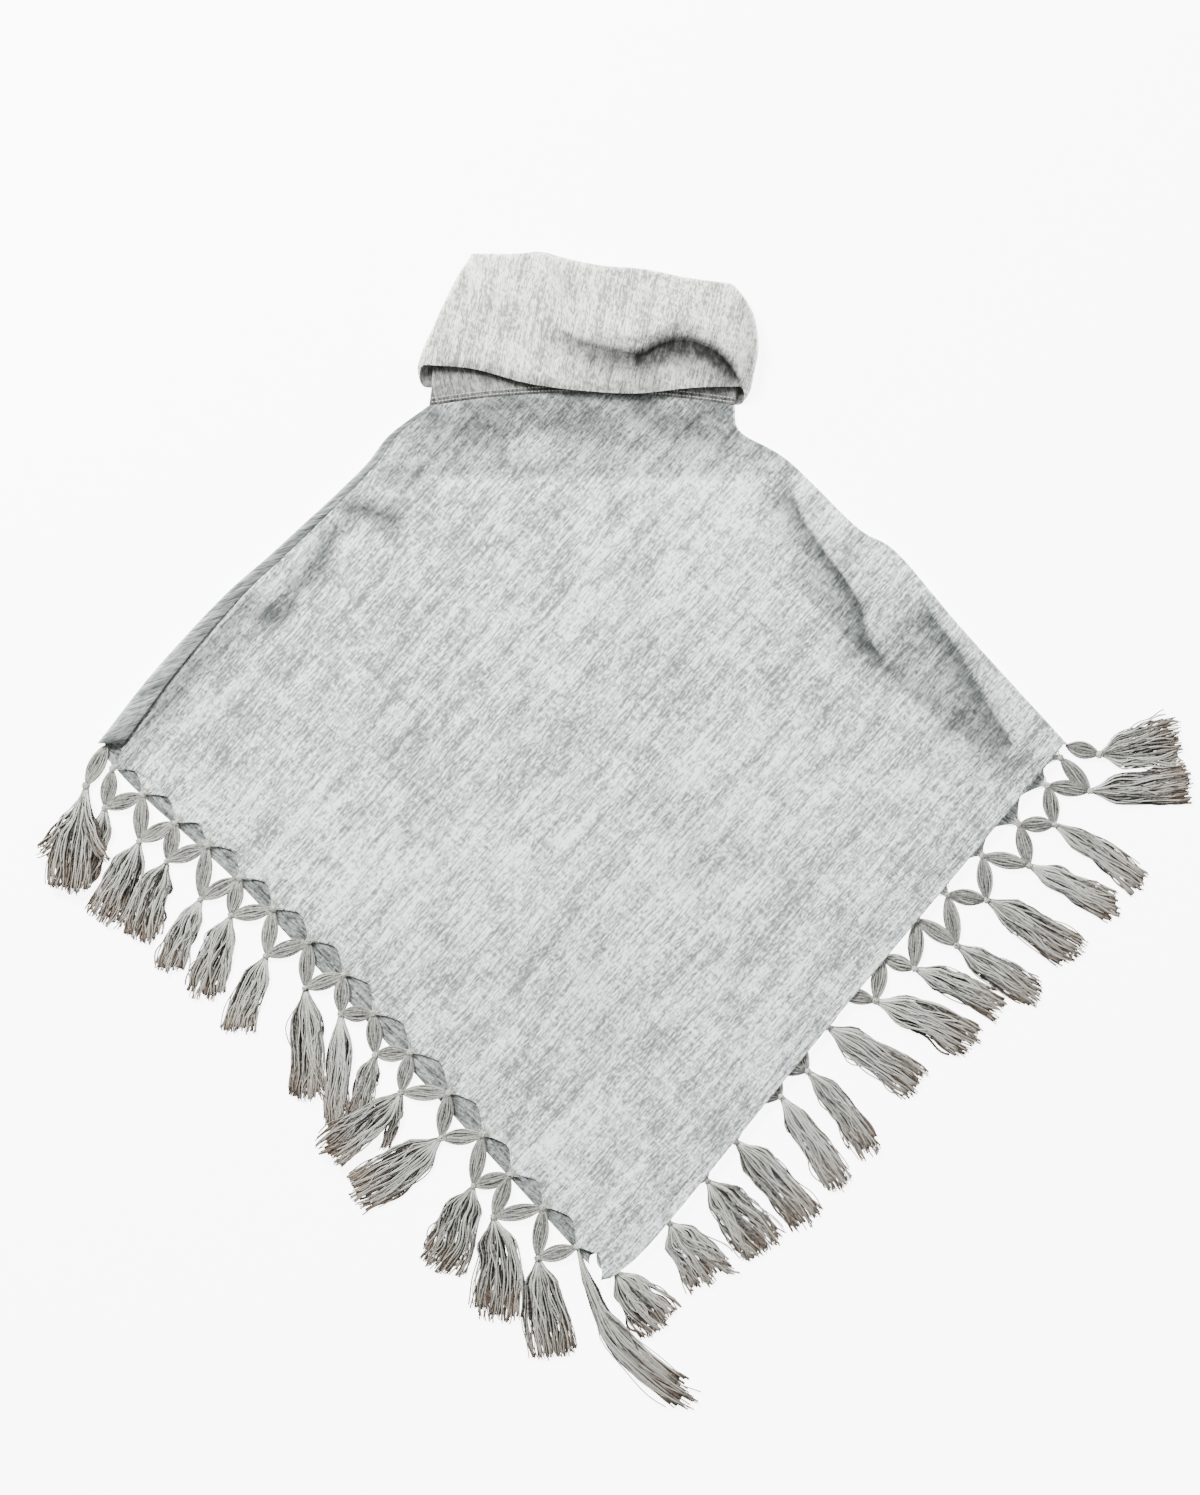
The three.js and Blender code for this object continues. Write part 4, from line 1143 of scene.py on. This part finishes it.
@dataclass
class Fringe:
    """One panel's fringe: knots, leaf-shaped legs and tassels, all of strands.

    A tassel has its full width and level at head_place of its length. deep_level and
    deep_thickness are those of the dark strands that fill it, a painted shade in its depths, end_sink how
    much lower its end is.
    """

    side: str
    rows: Sequence[TasselRow]
    last: TasselRow
    strays: Sequence[TasselRow]
    edge_level: float
    seed: int
    stray_strands: int = 18
    leg_width: float = 14.2
    leg_height: float = 4.2
    tassel_strands: int = 76
    tassel_stations: int = 17
    locks: int = 9
    strand_radius: float = 0.78
    root_radius: float = 1.7
    root_height: float = 1.8
    head_rise: float = 4.6
    head_place: float = 0.26
    end_sink: float = 0.42
    deep_level: float = 0.12
    deep_thickness: float = 1.9
    stray_share: float = 0.12
    dull_share: float = 0.38

    def __post_init__(self) -> None:
        """Starts the random numbers."""
        self.rng = np.random.default_rng(self.seed)

    def leg(self, yarns: Yarns, start: Array, end: Array, width: float, height: float) -> None:
        """A leaf of strands: across it a strand lies at cos(a), above at sin(a), both times
        sin(pi t)^0.75, with a little twist.

        Args:
            yarns: the mesh that takes the strands.
            start: one end.
            end: the other end.
            width: of the leaf.
            height: of the leaf.
        """
        t = np.linspace(0, 1, 11)[None, :]
        way = end - start
        ahead = way[:2] / np.linalg.norm(way[:2])
        left = np.array([-ahead[1], ahead[0], 0.0])
        leaf = np.sin(math.pi * t) ** 0.75
        twist = self.rng.uniform(-0.5, 0.5)
        for layer in LEG_LAYERS:
            count = layer.strands
            a = (np.arange(count) + self.rng.uniform(-0.3, 0.3, count))[:, None] * 2 * math.pi / count
            a = a + twist * (t - 0.5) + 0.12 * np.sin(2 * math.pi * t + self.rng.uniform(0, 6, (count, 1)))
            across = np.cos(a) * leaf * width / 2 * layer.size
            above = np.sin(a) * leaf * height / 2 * layer.size
            paths = start + way * t[..., None] + left * across[..., None]
            paths = paths + np.array([0, 0, 1.0]) * above[..., None]
            paths[..., 2] = np.maximum(paths[..., 2], layer.radius + 0.05)
            # Skin strands take random tints; the inner strands are dark as painted shade
            tint = self.rng.uniform(*layer.tints, count) if layer.tints else np.full(count, LEG_SHADE_TINT)
            radii = np.full(paths.shape[:2], layer.radius) * (0.75 + 0.25 * leaf)
            yarns.add(paths, radii, tint, 0 * radii, 3)

    def knot(self, yarns: Yarns, centre: Array, size: float = 2.7) -> None:
        """A knot: loops of yarn at random tilts on a flattened ball.

        Args:
            yarns: the mesh that takes the loops.
            centre: of the knot.
            size: radius of the ball.
        """
        t = np.linspace(0, 2 * math.pi, 14, endpoint=False)[:, None]
        loops = []
        for _ in range(KNOT_LOOPS):
            normal = self.rng.normal(size=3) * [1, 1, 0.5]
            normal /= np.linalg.norm(normal)
            first = np.cross(normal, [0.3, 0.1, 1.0])
            first /= np.linalg.norm(first)
            second = np.cross(normal, first)
            circle = np.cos(t) * first + np.sin(t) * second + normal * self.rng.uniform(-0.3, 0.3)
            loops.append(centre + circle * [size, size, size * KNOT_FLATNESS])
        paths = np.array(loops)
        paths[..., 2] = np.maximum(paths[..., 2], 1.0)
        radii = np.full(paths.shape[:2], KNOT_YARN)
        yarns.add(paths, radii, self.rng.uniform(0.45, 1, KNOT_LOOPS), 0 * radii, looped=True)

    def fan(self, yarns: Yarns, centre: Array, inward: Array, level: float) -> None:
        """The warp gathered from the cloth's lobe into its knot, as strands fanned over the lobe.

        Args:
            yarns: the mesh that takes the strands.
            centre: of the knot.
            inward: direction into the cloth, on the plan.
            level: of the cloth there.
        """
        angle = np.radians(np.linspace(-FAN_ANGLE, FAN_ANGLE, FAN_STRANDS)
                           + self.rng.uniform(-3, 3, FAN_STRANDS)) + math.atan2(inward[1], inward[0])
        way = np.stack([np.cos(angle), np.sin(angle)], axis=-1)
        t = np.linspace(0, 1, 6)[None, :]
        reach = self.rng.uniform(9, 15, FAN_STRANDS)[:, None] * t
        plan = centre[:2] + way[:, None, :] * reach[..., None]
        z = mix(centre[2] + 0.8, level + CLOTH_THICKNESS / 2 - 0.15, smooth(t * 1.1)) + 0 * reach
        radii = FAN_YARN * (1 - 0.6 * t) + 0 * reach
        yarns.add(np.dstack([plan, z]), radii, self.rng.uniform(0.6, 1, FAN_STRANDS), 0 * reach)

    def centre_line(self, row: TasselRow, root: Array, t: Array) -> tuple[Array, Array]:
        """The middle of a tassel, a quadratic Bezier curve from just past its knot to its tip.

        Args:
            row: how the tassel lies.
            root: its knot.
            t: stations, past 1 where a strand reaches past the tip.

        Returns:
            Points of the line and its normals to the left, each (..., 2).
        """
        tip = np.array(row.tip)
        way = (tip - root[:2]) / np.linalg.norm(tip - root[:2])
        start = root[:2] + way * 2.2
        control = (start + tip) / 2 + np.array([-way[1], way[0]]) * 2 * row.bend
        far = t[..., None]
        line = (1 - far) ** 2 * start + 2 * far * (1 - far) * control + far**2 * tip
        slope = 2 * (1 - far) * (control - start) + 2 * far * (tip - control)
        slope /= np.linalg.norm(slope, axis=-1, keepdims=True)
        return line, np.stack([-slope[..., 1], slope[..., 0]], axis=-1)

    def half_width(self, row: TasselRow, t: Array) -> Array:
        """Half the width of a tassel: from the knot to its head, then on to the spread of its end.

        Args:
            row: how the tassel lies.
            t: stations.

        Returns:
            The half width at each station.
        """
        root = self.root_radius
        head = min(6 + 0.62 * row.spread, row.spread) / 2
        half = root + (head - root) * smooth(t / self.head_place) ** 0.8
        half = half + (row.spread / 2 - head) * smooth((t - 0.22) / 0.6)
        return half * mix(0.4, 1.0, smooth((t - row.narrow) / 0.2)) if row.narrow else half

    def sway(self, t: Array, stray: Array, lock: Array) -> tuple[Array, Array]:
        """Waves of the single strands and of whole locks, to the side.

        Args:
            t: stations, (strands, stations).
            stray: whether a strand strays widely, (strands, 1).
            lock: each strand's lock.

        Returns:
            The offset at each station, and each strand's phase, (strands, 1).
        """
        rng, n = self.rng, len(lock)
        phase, turns = rng.uniform(0, 6.3, (n, 1)), rng.uniform(1.0, 2.9, (n, 1))
        lock_phase = rng.uniform(0, 6.3, self.locks)[lock, None]
        lock_turns = rng.uniform(0.6, 1.5, self.locks)[lock, None]
        lock_wave = rng.uniform(0.5, 2.2, self.locks)[lock, None]
        wave = rng.uniform(0.4, 1.6, (n, 1)) * np.where(stray, 2.6, 1.0)
        wave = wave * np.sin(2 * math.pi * turns * t + phase)
        wave += lock_wave * np.sin(2 * math.pi * lock_turns * t + lock_phase)
        return wave * smooth((t - 0.04) / 0.3), phase

    def tassel(self, yarns: Yarns, row: TasselRow, root: Array, n: int) -> None:
        """Strands from the knot: they swell into a head, gather in locks and end unevenly.

        A strand lies at u times the half width and at v of the heap's height, which is highest in
        the middle. Half as many more, thick and dark, lie evenly under the others and fill the heap,
        as a painted shade in its depths. Each strand's tint holds a painted shade, darker the lower it lies.

        Args:
            yarns: the mesh that takes the strands.
            row: how the tassel lies.
            root: its knot.
            n: how many strands it has.
        """
        rng = self.rng
        deep = n // 2
        n += deep
        below = np.arange(n)[:, None] < deep
        lock = rng.permutation(n) % self.locks
        centre = ((lock + 0.5) / self.locks * 2 - 1)[:, None]
        u0 = centre + rng.uniform(-1, 1, (n, 1)) / self.locks
        u0[:deep, 0] = np.linspace(-0.88, 0.88, deep)
        stray = rng.random((n, 1)) < self.stray_share
        uneven = rng.uniform(-0.11, 0.05, self.locks)[lock, None]
        reach = 1.0 + rng.normal(0, 0.018, (n, 1)) + uneven - 0.06 * centre**2 - 0.1 * np.abs(u0 - centre)
        reach = np.clip(reach, 0.72, np.where(below, 0.97, 1.05))
        t = np.linspace(0, 1, self.tassel_stations)[None, :] ** 0.85 * reach
        gather = np.where(below, 0.1, 0.5) * smooth((t - 0.3) / 0.65)
        u = u0 + (centre - u0) * gather + rng.normal(0, 0.13, (n, 1)) * smooth((t - 0.15) / 0.7)
        sway, phase = self.sway(t, stray, lock)
        line, normal = self.centre_line(row, root, t)
        plan = line + normal * (u * self.half_width(row, t) + sway)[..., None]
        v = np.where(below, self.deep_level, rng.uniform(0, 1, (n, 1)) ** 0.8)
        dome = np.sqrt(1 - np.clip(u, -1, 1) ** 2 * 0.8)
        heap = self.root_height + self.head_rise * smooth(t / 0.18)
        heap = heap * (1 - self.end_sink * smooth((t - 0.3) / 0.7)) * dome
        under_root = max(root[2] - self.root_radius, FLOOR_CLEARANCE)
        bottom = mix(under_root, FLOOR_CLEARANCE, smooth(t / self.head_place))
        lift = row.lift * smooth((t - 0.05) / 0.2)
        z = bottom + lift + self.strand_radius + v * (heap - self.strand_radius)
        thick = self.strand_radius * np.where(below, self.deep_thickness, rng.uniform(0.75, 1.2, (n, 1)))
        radii = thick * (1 - 0.12 * smooth((t - 0.85) / 0.2))
        z = np.maximum(z + 0.5 * np.sin(5 * t + phase) * t, radii + 0.05)
        dull = np.where(rng.random((n, 1)) < self.dull_share, 0.6, 0.0)
        # Tint: random tone and dull strands, with painted shade darker the lower a strand lies and darkest
        # on the filling
        tint = np.clip(0.12 + 0.95 * v + rng.normal(0, 0.16, (n, 1)) - dull - 0.2 * below, 0, 1)
        yarns.add(np.dstack([plan, z]), radii, tint[:, 0], t, 3)

    def net(self, lobe_level: float) -> Yarns:
        """The net: at each station an edge knot with its fan, a lower knot and the legs to it.

        Args:
            lobe_level: level of the cloth's edge, where the knots gather it.

        Returns:
            Its strands.
        """
        yarns = Yarns(f"{self.side}_net_yarn")
        edges = [np.array([*row.edge, self.edge_level]) for row in self.rows]
        lowers = [self.root(row) for row in self.rows]
        for i, (edge, lower) in enumerate(zip(edges, lowers)):
            self.knot(yarns, edge)
            chord = (edges[min(i + 1, len(edges) - 1)] - edges[max(i - 1, 0)])[:2]
            inward = np.array([-chord[1], chord[0]]) * math.copysign(1.0, chord[0])
            self.fan(yarns, edge, inward, lobe_level)
            if i:
                self.knot(yarns, lower)
                self.leg(yarns, edge, lower, self.leg_width, self.leg_height)
            if i + 1 < len(lowers):
                self.leg(yarns, edge, lowers[i + 1], self.leg_width, self.leg_height)
        return yarns

    def root(self, row: TasselRow) -> Array:
        """The knot from which a tassel hangs, its lower one if it has one."""
        return np.array([*row.knot, LOWER_KNOT_LEVEL] if row.knot else [*row.edge, self.edge_level])

    def tassels(self) -> Yarns:
        """All tassels, and the locks that have parted from them.

        Returns:
            Their strands.
        """
        yarns = Yarns(f"{self.side}_tassel_yarn")
        for row in [*self.rows, self.last]:
            root = self.root(row)
            self.tassel(yarns, row, root, self.tassel_strands)
            if row.stem:
                self.knot(yarns, root, 3.2)
                self.leg(yarns, np.array([*row.stem, LOWER_KNOT_LEVEL]), root, 15.0, 3.4)
        for row in self.strays:
            self.tassel(yarns, row, self.root(row), self.stray_strands)
        return yarns

    def build(self, look: bpy.types.Material,
              lobe_level: float) -> tuple[bpy.types.Object, bpy.types.Object]:
        """The net and the tassels of one side.

        Args:
            look: the yarn's material.
            lobe_level: level of the cloth's edge, where the knots gather it.

        Returns:
            The net and the joined tassels.
        """
        net, tassels = self.net(lobe_level), self.tassels()
        return net.build(look), tassels.build(look)


@dataclass(frozen=True)
class Nodes:
    """Adds shader nodes and joins them."""

    tree: bpy.types.NodeTree

    def add(self, kind: str, **settings: object) -> bpy.types.Node:
        """A node with its properties set.

        Args:
            kind: of the node.
            settings: its properties.

        Returns:
            The node.
        """
        node = self.tree.nodes.new(kind)
        for key, value in settings.items():
            setattr(node, key, value)
        return node

    def feed(self, socket: Socket, value: object) -> None:
        """Joins a socket to another node's output, or sets its value.

        Args:
            socket: the input.
            value: an output, a number or a colour.
        """
        if isinstance(value, Socket):
            self.tree.links.new(value, socket)
        else:
            socket.default_value = value

    def maths(self, operation: str, a: object, b: object = 0.0, clamp: bool = False) -> Socket:
        """A sum, product or the like of two numbers.

        Args:
            operation: its name.
            a: first number or output.
            b: second number or output.
            clamp: whether the result is held to 0..1.

        Returns:
            The result.
        """
        node = self.add("ShaderNodeMath", operation=operation, use_clamp=clamp)
        self.feed(node.inputs[0], a)
        self.feed(node.inputs[1], b)
        return node.outputs[0]

    def attribute(self, name: str) -> bpy.types.Node:
        """Reads a vertex attribute."""
        return self.add("ShaderNodeAttribute", attribute_name=name)

    def noise(self, vector: Socket, scale: tuple[float, float, float], detail: float,
              rough: float = 0.5, shift: float = 0.0) -> Socket:
        """Noise of stretched coordinates.

        Args:
            vector: the coordinates.
            scale: features to the metre on each axis.
            detail: octaves.
            rough: weight of the finer octaves.
            shift: moves the pattern, so that no two noises are alike.

        Returns:
            The noise, around 0.5.
        """
        mapping = self.add("ShaderNodeMapping")
        self.feed(mapping.inputs["Vector"], vector)
        mapping.inputs["Scale"].default_value = scale
        mapping.inputs["Location"].default_value = (shift, shift * 1.7, shift * 0.3)
        node = self.add("ShaderNodeTexNoise")
        self.feed(node.inputs["Vector"], mapping.outputs[0])
        node.inputs["Scale"].default_value = 1.0
        node.inputs["Detail"].default_value = detail
        node.inputs["Roughness"].default_value = rough
        return node.outputs["Fac"]

    def span(self, value: Socket, low: float, high: float, out_low: float = 0.0,
             out_high: float = 1.0) -> Socket:
        """Stretches one span to another, smoothly and clamped.

        Args:
            value: what is stretched.
            low: start of the first span.
            high: end of the first span.
            out_low: start of the other.
            out_high: end of the other.

        Returns:
            The stretched value.
        """
        node = self.add("ShaderNodeMapRange", interpolation_type="SMOOTHSTEP")
        for key, number in (("Value", value), ("From Min", low), ("From Max", high), ("To Min", out_low),
                            ("To Max", out_high)):
            self.feed(node.inputs[key], number)
        return node.outputs["Result"]

    def blend(self, share: object, first: object, second: object) -> Socket:
        """Mixes two colours.

        Args:
            share: of the second one.
            first: colour.
            second: colour.

        Returns:
            The mixed colour.
        """
        node = self.add("ShaderNodeMix", data_type="RGBA", clamp_factor=True)
        self.feed(node.inputs["Factor"], share)
        self.feed(node.inputs[6], first)
        self.feed(node.inputs[7], second)
        return node.outputs[2]

    def bump(self, shader: bpy.types.Node, height: Socket, strength: float, distance: float) -> None:
        """Gives a shader's surface fine relief.

        Args:
            shader: the surface's.
            height: of the relief, from 0 to 1.
            strength: share of its full effect.
            distance: its height in metres.
        """
        node = self.add("ShaderNodeBump")
        node.inputs["Strength"].default_value = strength
        node.inputs["Distance"].default_value = distance
        self.feed(node.inputs["Height"], height)
        self.feed(shader.inputs["Normal"], node.outputs[0])


def matt_surface(name: str) -> tuple[bpy.types.Material, Nodes, bpy.types.Node]:
    """A rough, slightly sheened surface whose colour is still to be joined.

    Args:
        name: of the material.

    Returns:
        The material, its node helper and its shader.
    """
    material = bpy.data.materials.new(name)
    material.use_nodes = True
    nodes = Nodes(material.node_tree)
    shader = material.node_tree.nodes["Principled BSDF"]
    shader.inputs["Roughness"].default_value = 0.95
    shader.inputs["Specular IOR Level"].default_value = 0.15
    shader.inputs["Sheen Weight"].default_value = 0.12
    shader.inputs["Sheen Roughness"].default_value = 0.5
    return material, nodes, shader


@dataclass(frozen=True)
class Layer:
    """One layer of the heather: features to the metre along and across the warp, detail and weight."""

    name: str
    warp: float
    weft: float
    detail: float
    weight: float


HEATHER = (
    Layer("long threads", 12, 400, 1.0, 1.0),
    Layer("streaks", 5, 140, 1.0, 0.6),
    Layer("slub marks", 60, 230, 2.0, 0.8),
    Layer("dashes", 120, 620, 1.0, 1.2),
    Layer("fine dashes", 280, 1200, 0.0, 1.3),
    Layer("weft dashes", 560, 150, 1.0, 0.6),
    Layer("weft threads", 330, 10, 0.0, 0.35),
    Layer("patches", 30, 46, 3.0, 0.9),
    Layer("clouds", 5, 8, 2.0, 0.5),
)
# Scale of the layer number, which sets the patterns of the pieces apart
LAYER_SCALE = 40


@dataclass(frozen=True)
class Weave:
    """Heathered plain weave: a sum of stretched noises read as a ramp from dark thread to pale slub.

    It is drawn in cloth coordinates, x along the warp and y across it, in metres.
    """

    name: str
    dark: Colour
    grey: Colour
    pale: Colour
    slub: Colour
    wander_scale: float = 22.0
    wander_width: float = 0.004

    def wandered(self, nodes: Nodes, raw: Socket) -> Socket:
        """Cloth coordinates whose threads wander a little to the side.

        Args:
            nodes: the material's.
            raw: straight cloth coordinates.

        Returns:
            The bent coordinates.
        """
        wander = nodes.add("ShaderNodeTexNoise")
        nodes.feed(wander.inputs["Vector"], raw)
        wander.inputs["Scale"].default_value = self.wander_scale
        wander.inputs["Detail"].default_value = 1.0
        bend = nodes.add("ShaderNodeVectorMath", operation="MULTIPLY_ADD")
        nodes.feed(bend.inputs[0], wander.outputs["Color"])
        bend.inputs[1].default_value = (0.0, self.wander_width, 0.0)
        nodes.feed(bend.inputs[2], raw)
        return bend.outputs[0]

    def tone(self, nodes: Nodes, raw: Socket, lost: Socket) -> Socket:
        """The heather's tone, around 0.5, calmer where the cloth is dim.

        Args:
            nodes: the material's.
            raw: cloth coordinates.
            lost: light lost.

        Returns:
            The tone.
        """
        bent = self.wandered(nodes, raw)
        tone = 0.5
        for number, layer in enumerate(HEATHER):
            scale = (layer.warp, layer.weft, LAYER_SCALE)
            grain = nodes.noise(bent, scale, layer.detail, 0.55, 1.7 * number)
            part = nodes.maths("MULTIPLY", nodes.maths("SUBTRACT", grain, 0.5), layer.weight)
            tone = nodes.maths("ADD", tone, part)
        calm = nodes.span(lost, 0.35, 1.0, 1.0, 0.55)
        return nodes.maths("ADD", nodes.maths("MULTIPLY", nodes.maths("SUBTRACT", tone, 0.5), calm), 0.5)

    def kept(self, nodes: Nodes, raw: Socket, lost: Socket) -> Socket:
        """The light that is kept, painted into the colour: (1 - lost)^m with m patchy around 1, and less
        where a painted shade lies along the groove of a line of stitches.

        Args:
            nodes: the material's.
            raw: cloth coordinates.
            lost: light lost.

        Returns:
            The share of light.
        """
        patchy = nodes.noise(raw, (110, 170, LAYER_SCALE), 3.0, 0.6, 4.4)
        lit = nodes.maths("SUBTRACT", 1.0, lost, clamp=True)
        lit = nodes.maths("POWER", lit, nodes.span(patchy, 0.32, 0.68, 0.75, 1.25))
        # Painted shade in the groove of the stitch line, broken into dashes
        seam = nodes.attribute("hem").outputs["Fac"]
        stitches = nodes.noise(raw, (330, 330, LAYER_SCALE), 0.0, 0.5, 9.1)
        from_line = nodes.maths("ABSOLUTE", nodes.maths("SUBTRACT", seam, STITCH_LINE * MM))
        thread = nodes.span(stitches, 0.4, 0.55, 0.2, 0.6)
        line = nodes.maths("MULTIPLY", nodes.span(from_line, 0.0004, 0.0014, 1.0, 0.0), thread)
        return nodes.maths("MULTIPLY", lit, nodes.maths("SUBTRACT", 1.0, line))

    def material(self) -> bpy.types.Material:
        """The cloth's material.

        Returns:
            The material.
        """
        material, nodes, shader = matt_surface(self.name)
        raw = nodes.attribute("threads").outputs["Vector"]
        lost = nodes.attribute("shade").outputs["Fac"]
        tone = self.tone(nodes, raw, lost)
        ramp = nodes.add("ShaderNodeValToRGB")
        nodes.feed(ramp.inputs[0], tone)
        stops = ramp.color_ramp.elements
        stops[0].position, stops[0].color = 0.1, self.dark
        stops[1].position, stops[1].color = 0.86, self.slub
        for place, colour in ((0.36, self.grey), (0.56, self.pale)):
            stops.new(place).color = colour
        shaded = nodes.add("ShaderNodeVectorMath", operation="SCALE")
        nodes.feed(shaded.inputs[0], ramp.outputs[0])
        nodes.feed(shaded.inputs["Scale"], self.kept(nodes, raw, lost))
        nodes.feed(shader.inputs["Base Color"], shaded.outputs[0])
        nodes.bump(shader, tone, 0.5, 0.0008)
        return material


@dataclass(frozen=True)
class Yarn:
    """Loose yarn: each strand its own tint, with painted shade darker low in the heap, warmer to its cut
    end.
    """

    name: str
    pale: Colour
    dark: Colour
    warm: Colour

    def material(self) -> bpy.types.Material:
        """The yarn's material.

        Returns:
            The material.
        """
        material, nodes, shader = matt_surface(self.name)
        tint = nodes.attribute("strand").outputs["Fac"]
        place = nodes.attribute("place").outputs["Fac"]
        where = nodes.add("ShaderNodeTexCoord").outputs["Object"]
        fuzz = nodes.noise(where, (420, 420, 420), 2.0, 0.6)
        uneven = nodes.maths("MULTIPLY", nodes.maths("SUBTRACT", fuzz, 0.5), 0.9)
        base = nodes.blend(nodes.maths("ADD", tint, uneven, clamp=True), self.dark, self.pale)
        base = nodes.blend(nodes.span(place, 0.45, 1.0, 0.0, 0.5), base, self.warm)
        nodes.feed(shader.inputs["Base Color"], base)
        nodes.bump(shader, fuzz, 0.4, 0.0003)
        return material


@dataclass(frozen=True)
class Studio:
    """Pale floor, soft light and the camera straight above."""

    view_centre: tuple[float, float] = (-14.85, 76.28)
    view_height: float = 1.3455
    camera_height: float = 2.8
    floor_half_size: float = 14.0
    floor_drop: float = 0.4
    floor_tone: float = 0.93
    floor_glow: float = 7.0
    sky: float = 0.5

    def floor(self) -> None:
        """A pale surface just under the garment, bright enough to come out white."""
        size = self.floor_half_size
        corners = np.array([[-size, -size, 0], [size, -size, 0], [size, size, 0], [-size, size, 0]])
        corners = corners / MM + DRAWING_CENTRE - np.array([0, 0, self.floor_drop])
        material, _, shader = matt_surface("floor_paper")
        shader.inputs["Base Color"].default_value = (self.floor_tone,) * 3 + (1,)
        shader.inputs["Sheen Weight"].default_value = 0.0
        shader.inputs["Emission Color"].default_value = (1, 1, 1, 1)
        shader.inputs["Emission Strength"].default_value = self.floor_glow
        make_piece("floor", corners, [np.array([[0, 1, 2, 3]])], material)

    def lamp(self, name: str, place: tuple[float, float, float], size: float, energy: float) -> None:
        """A square area light that faces the garment's middle.

        Args:
            name: its name.
            place: where it stands, in metres.
            size: length of its side.
            energy: in watts.
        """
        light = bpy.data.lights.new(name, "AREA")
        light.size, light.energy = size, energy
        holder = bpy.data.objects.new(name, light)
        holder.location = place
        x, y, z = place
        holder.rotation_euler = (math.acos(z / math.hypot(x, y, z)), 0, math.atan2(x, -y))
        bpy.context.scene.collection.objects.link(holder)

    def light(self) -> None:
        """An even pale sky, a soft lamp from the upper left and a weaker one from the right."""
        world = bpy.data.worlds.new("studio")
        world.use_nodes = True
        background = world.node_tree.nodes["Background"]
        background.inputs["Color"].default_value = (1, 1, 1, 1)
        background.inputs["Strength"].default_value = self.sky
        bpy.context.scene.world = world
        self.lamp("key", (-1.5, 1.9, 1.9), 1.0, 300)
        self.lamp("fill", (1.9, 0.7, 1.8), 1.6, 50)

    def camera(self) -> None:
        """Straight above, its lens set so that the sensor's width spans view_height on the garment."""
        data = bpy.data.cameras.new("camera")
        data.sensor_width = 36.0
        data.lens = data.sensor_width * self.camera_height / self.view_height
        holder = bpy.data.objects.new("camera", data)
        x, y = (np.array(self.view_centre) - DRAWING_CENTRE[:2]) * MM
        holder.location = (x, y, self.camera_height)
        bpy.context.scene.collection.objects.link(holder)
        bpy.context.scene.camera = holder

    def build(self) -> None:
        """Sets up floor, light and camera."""
        self.floor()
        self.light()
        self.camera()


CLOTH = Weave("woven_cloth", (0.168, 0.184, 0.173, 1), (0.35, 0.39, 0.375, 1), (0.52, 0.58, 0.565, 1),
              (0.95, 0.98, 0.97, 1))
COLLAR_CLOTH = Weave("collar_cloth", (0.26, 0.27, 0.245, 1), (0.48, 0.495, 0.455, 1), (0.67, 0.68, 0.635, 1),
                     (0.98, 0.98, 0.94, 1))
YARN = Yarn("fringe_yarn", (0.49, 0.495, 0.455, 1), (0.018, 0.014, 0.011, 1), (0.16, 0.11, 0.075, 1))


@dataclass
class Poncho:
    """The whole garment: panels, collar and fringes, each declared to the frame."""

    def ride(self, piece: bpy.types.Object, slot: str, *nodes: str) -> bpy.types.Object:
        """Lets a piece ride on the part and stand for its solids.

        Args:
            piece: the piece.
            slot: not used.
            nodes: the solids that it replaces.

        Returns:
            The piece.
        """
        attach(piece, "root")
        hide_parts(*nodes)
        return piece

    def panels(self) -> None:
        """The two squares of cloth, each with its neck corner cut off."""
        look = CLOTH.material()
        back = BackPanel("back_cloth", RIGHT_SHOULDER, LEFT_SHOULDER, UNDER_WRAP, OVER_WRAP,
                         [row.edge for row in [*BACK_FRINGE, BACK_LAST]], BACK_TIP, BACK_SELVAGE,
                         Thread.BACK, 2.0, BACK_CREASES, shoulder_rows=48, rows_per_lobe=8, columns=70,
                         density=1.0, hem_rise=0.0, strip_shade=0.6, lowest=BACK_LEVEL)
        front = FrontPanel("front_cloth", LEFT_SHOULDER, RIGHT_SHOULDER, OVER_WRAP, UNDER_WRAP,
                           [row.edge for row in FRONT_FRINGE], FRONT_TIP, FRONT_SELVAGE,
                           Thread.FRONT, 4.0, FRONT_CREASES)
        for panel, node, under in ((back, "back_panel", []), (front, "front_panel", ["back_panel"])):
            piece = self.ride(panel.build(look), "cloth", node)

    def collar(self) -> None:
        """The cowl collar, one tube of cloth."""
        piece = self.ride(Collar().build(COLLAR_CLOTH.material()), "collar_cloth", "collar")
        stitches = Collar().stitches(YARN.material())
        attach(stitches, "root")

    def fringes(self) -> None:
        """Both knotted fringes."""
        look = YARN.material()
        for side, rows, last, strays, level, lobe, seed in (
                ("front", FRONT_FRINGE, FRONT_LAST, FRONT_STRAYS, FRONT_KNOT_LEVEL, FRONT_LEVEL, SEED),
                ("back", BACK_FRINGE, BACK_LAST, BACK_STRAYS, BACK_KNOT_LEVEL, BACK_LEVEL, SEED + 1)):
            net, tassels = Fringe(side, rows, last, strays, level, seed).build(look, lobe)
            names = [f"{side}_tassel_{i + 1:02d}" for i in range(len(rows) + 1)]
            self.ride(net, "fringe_yarn", f"{side}_net")
            self.ride(tassels, "fringe_yarn", *names)


def main() -> None:
    """Builds the garment and its studio."""
    logging.basicConfig(level=logging.INFO, format="%(message)s")
    poncho = Poncho()
    poncho.panels()
    poncho.collar()
    poncho.fringes()
    Studio().build()


if __name__ == "__main__":
    main()
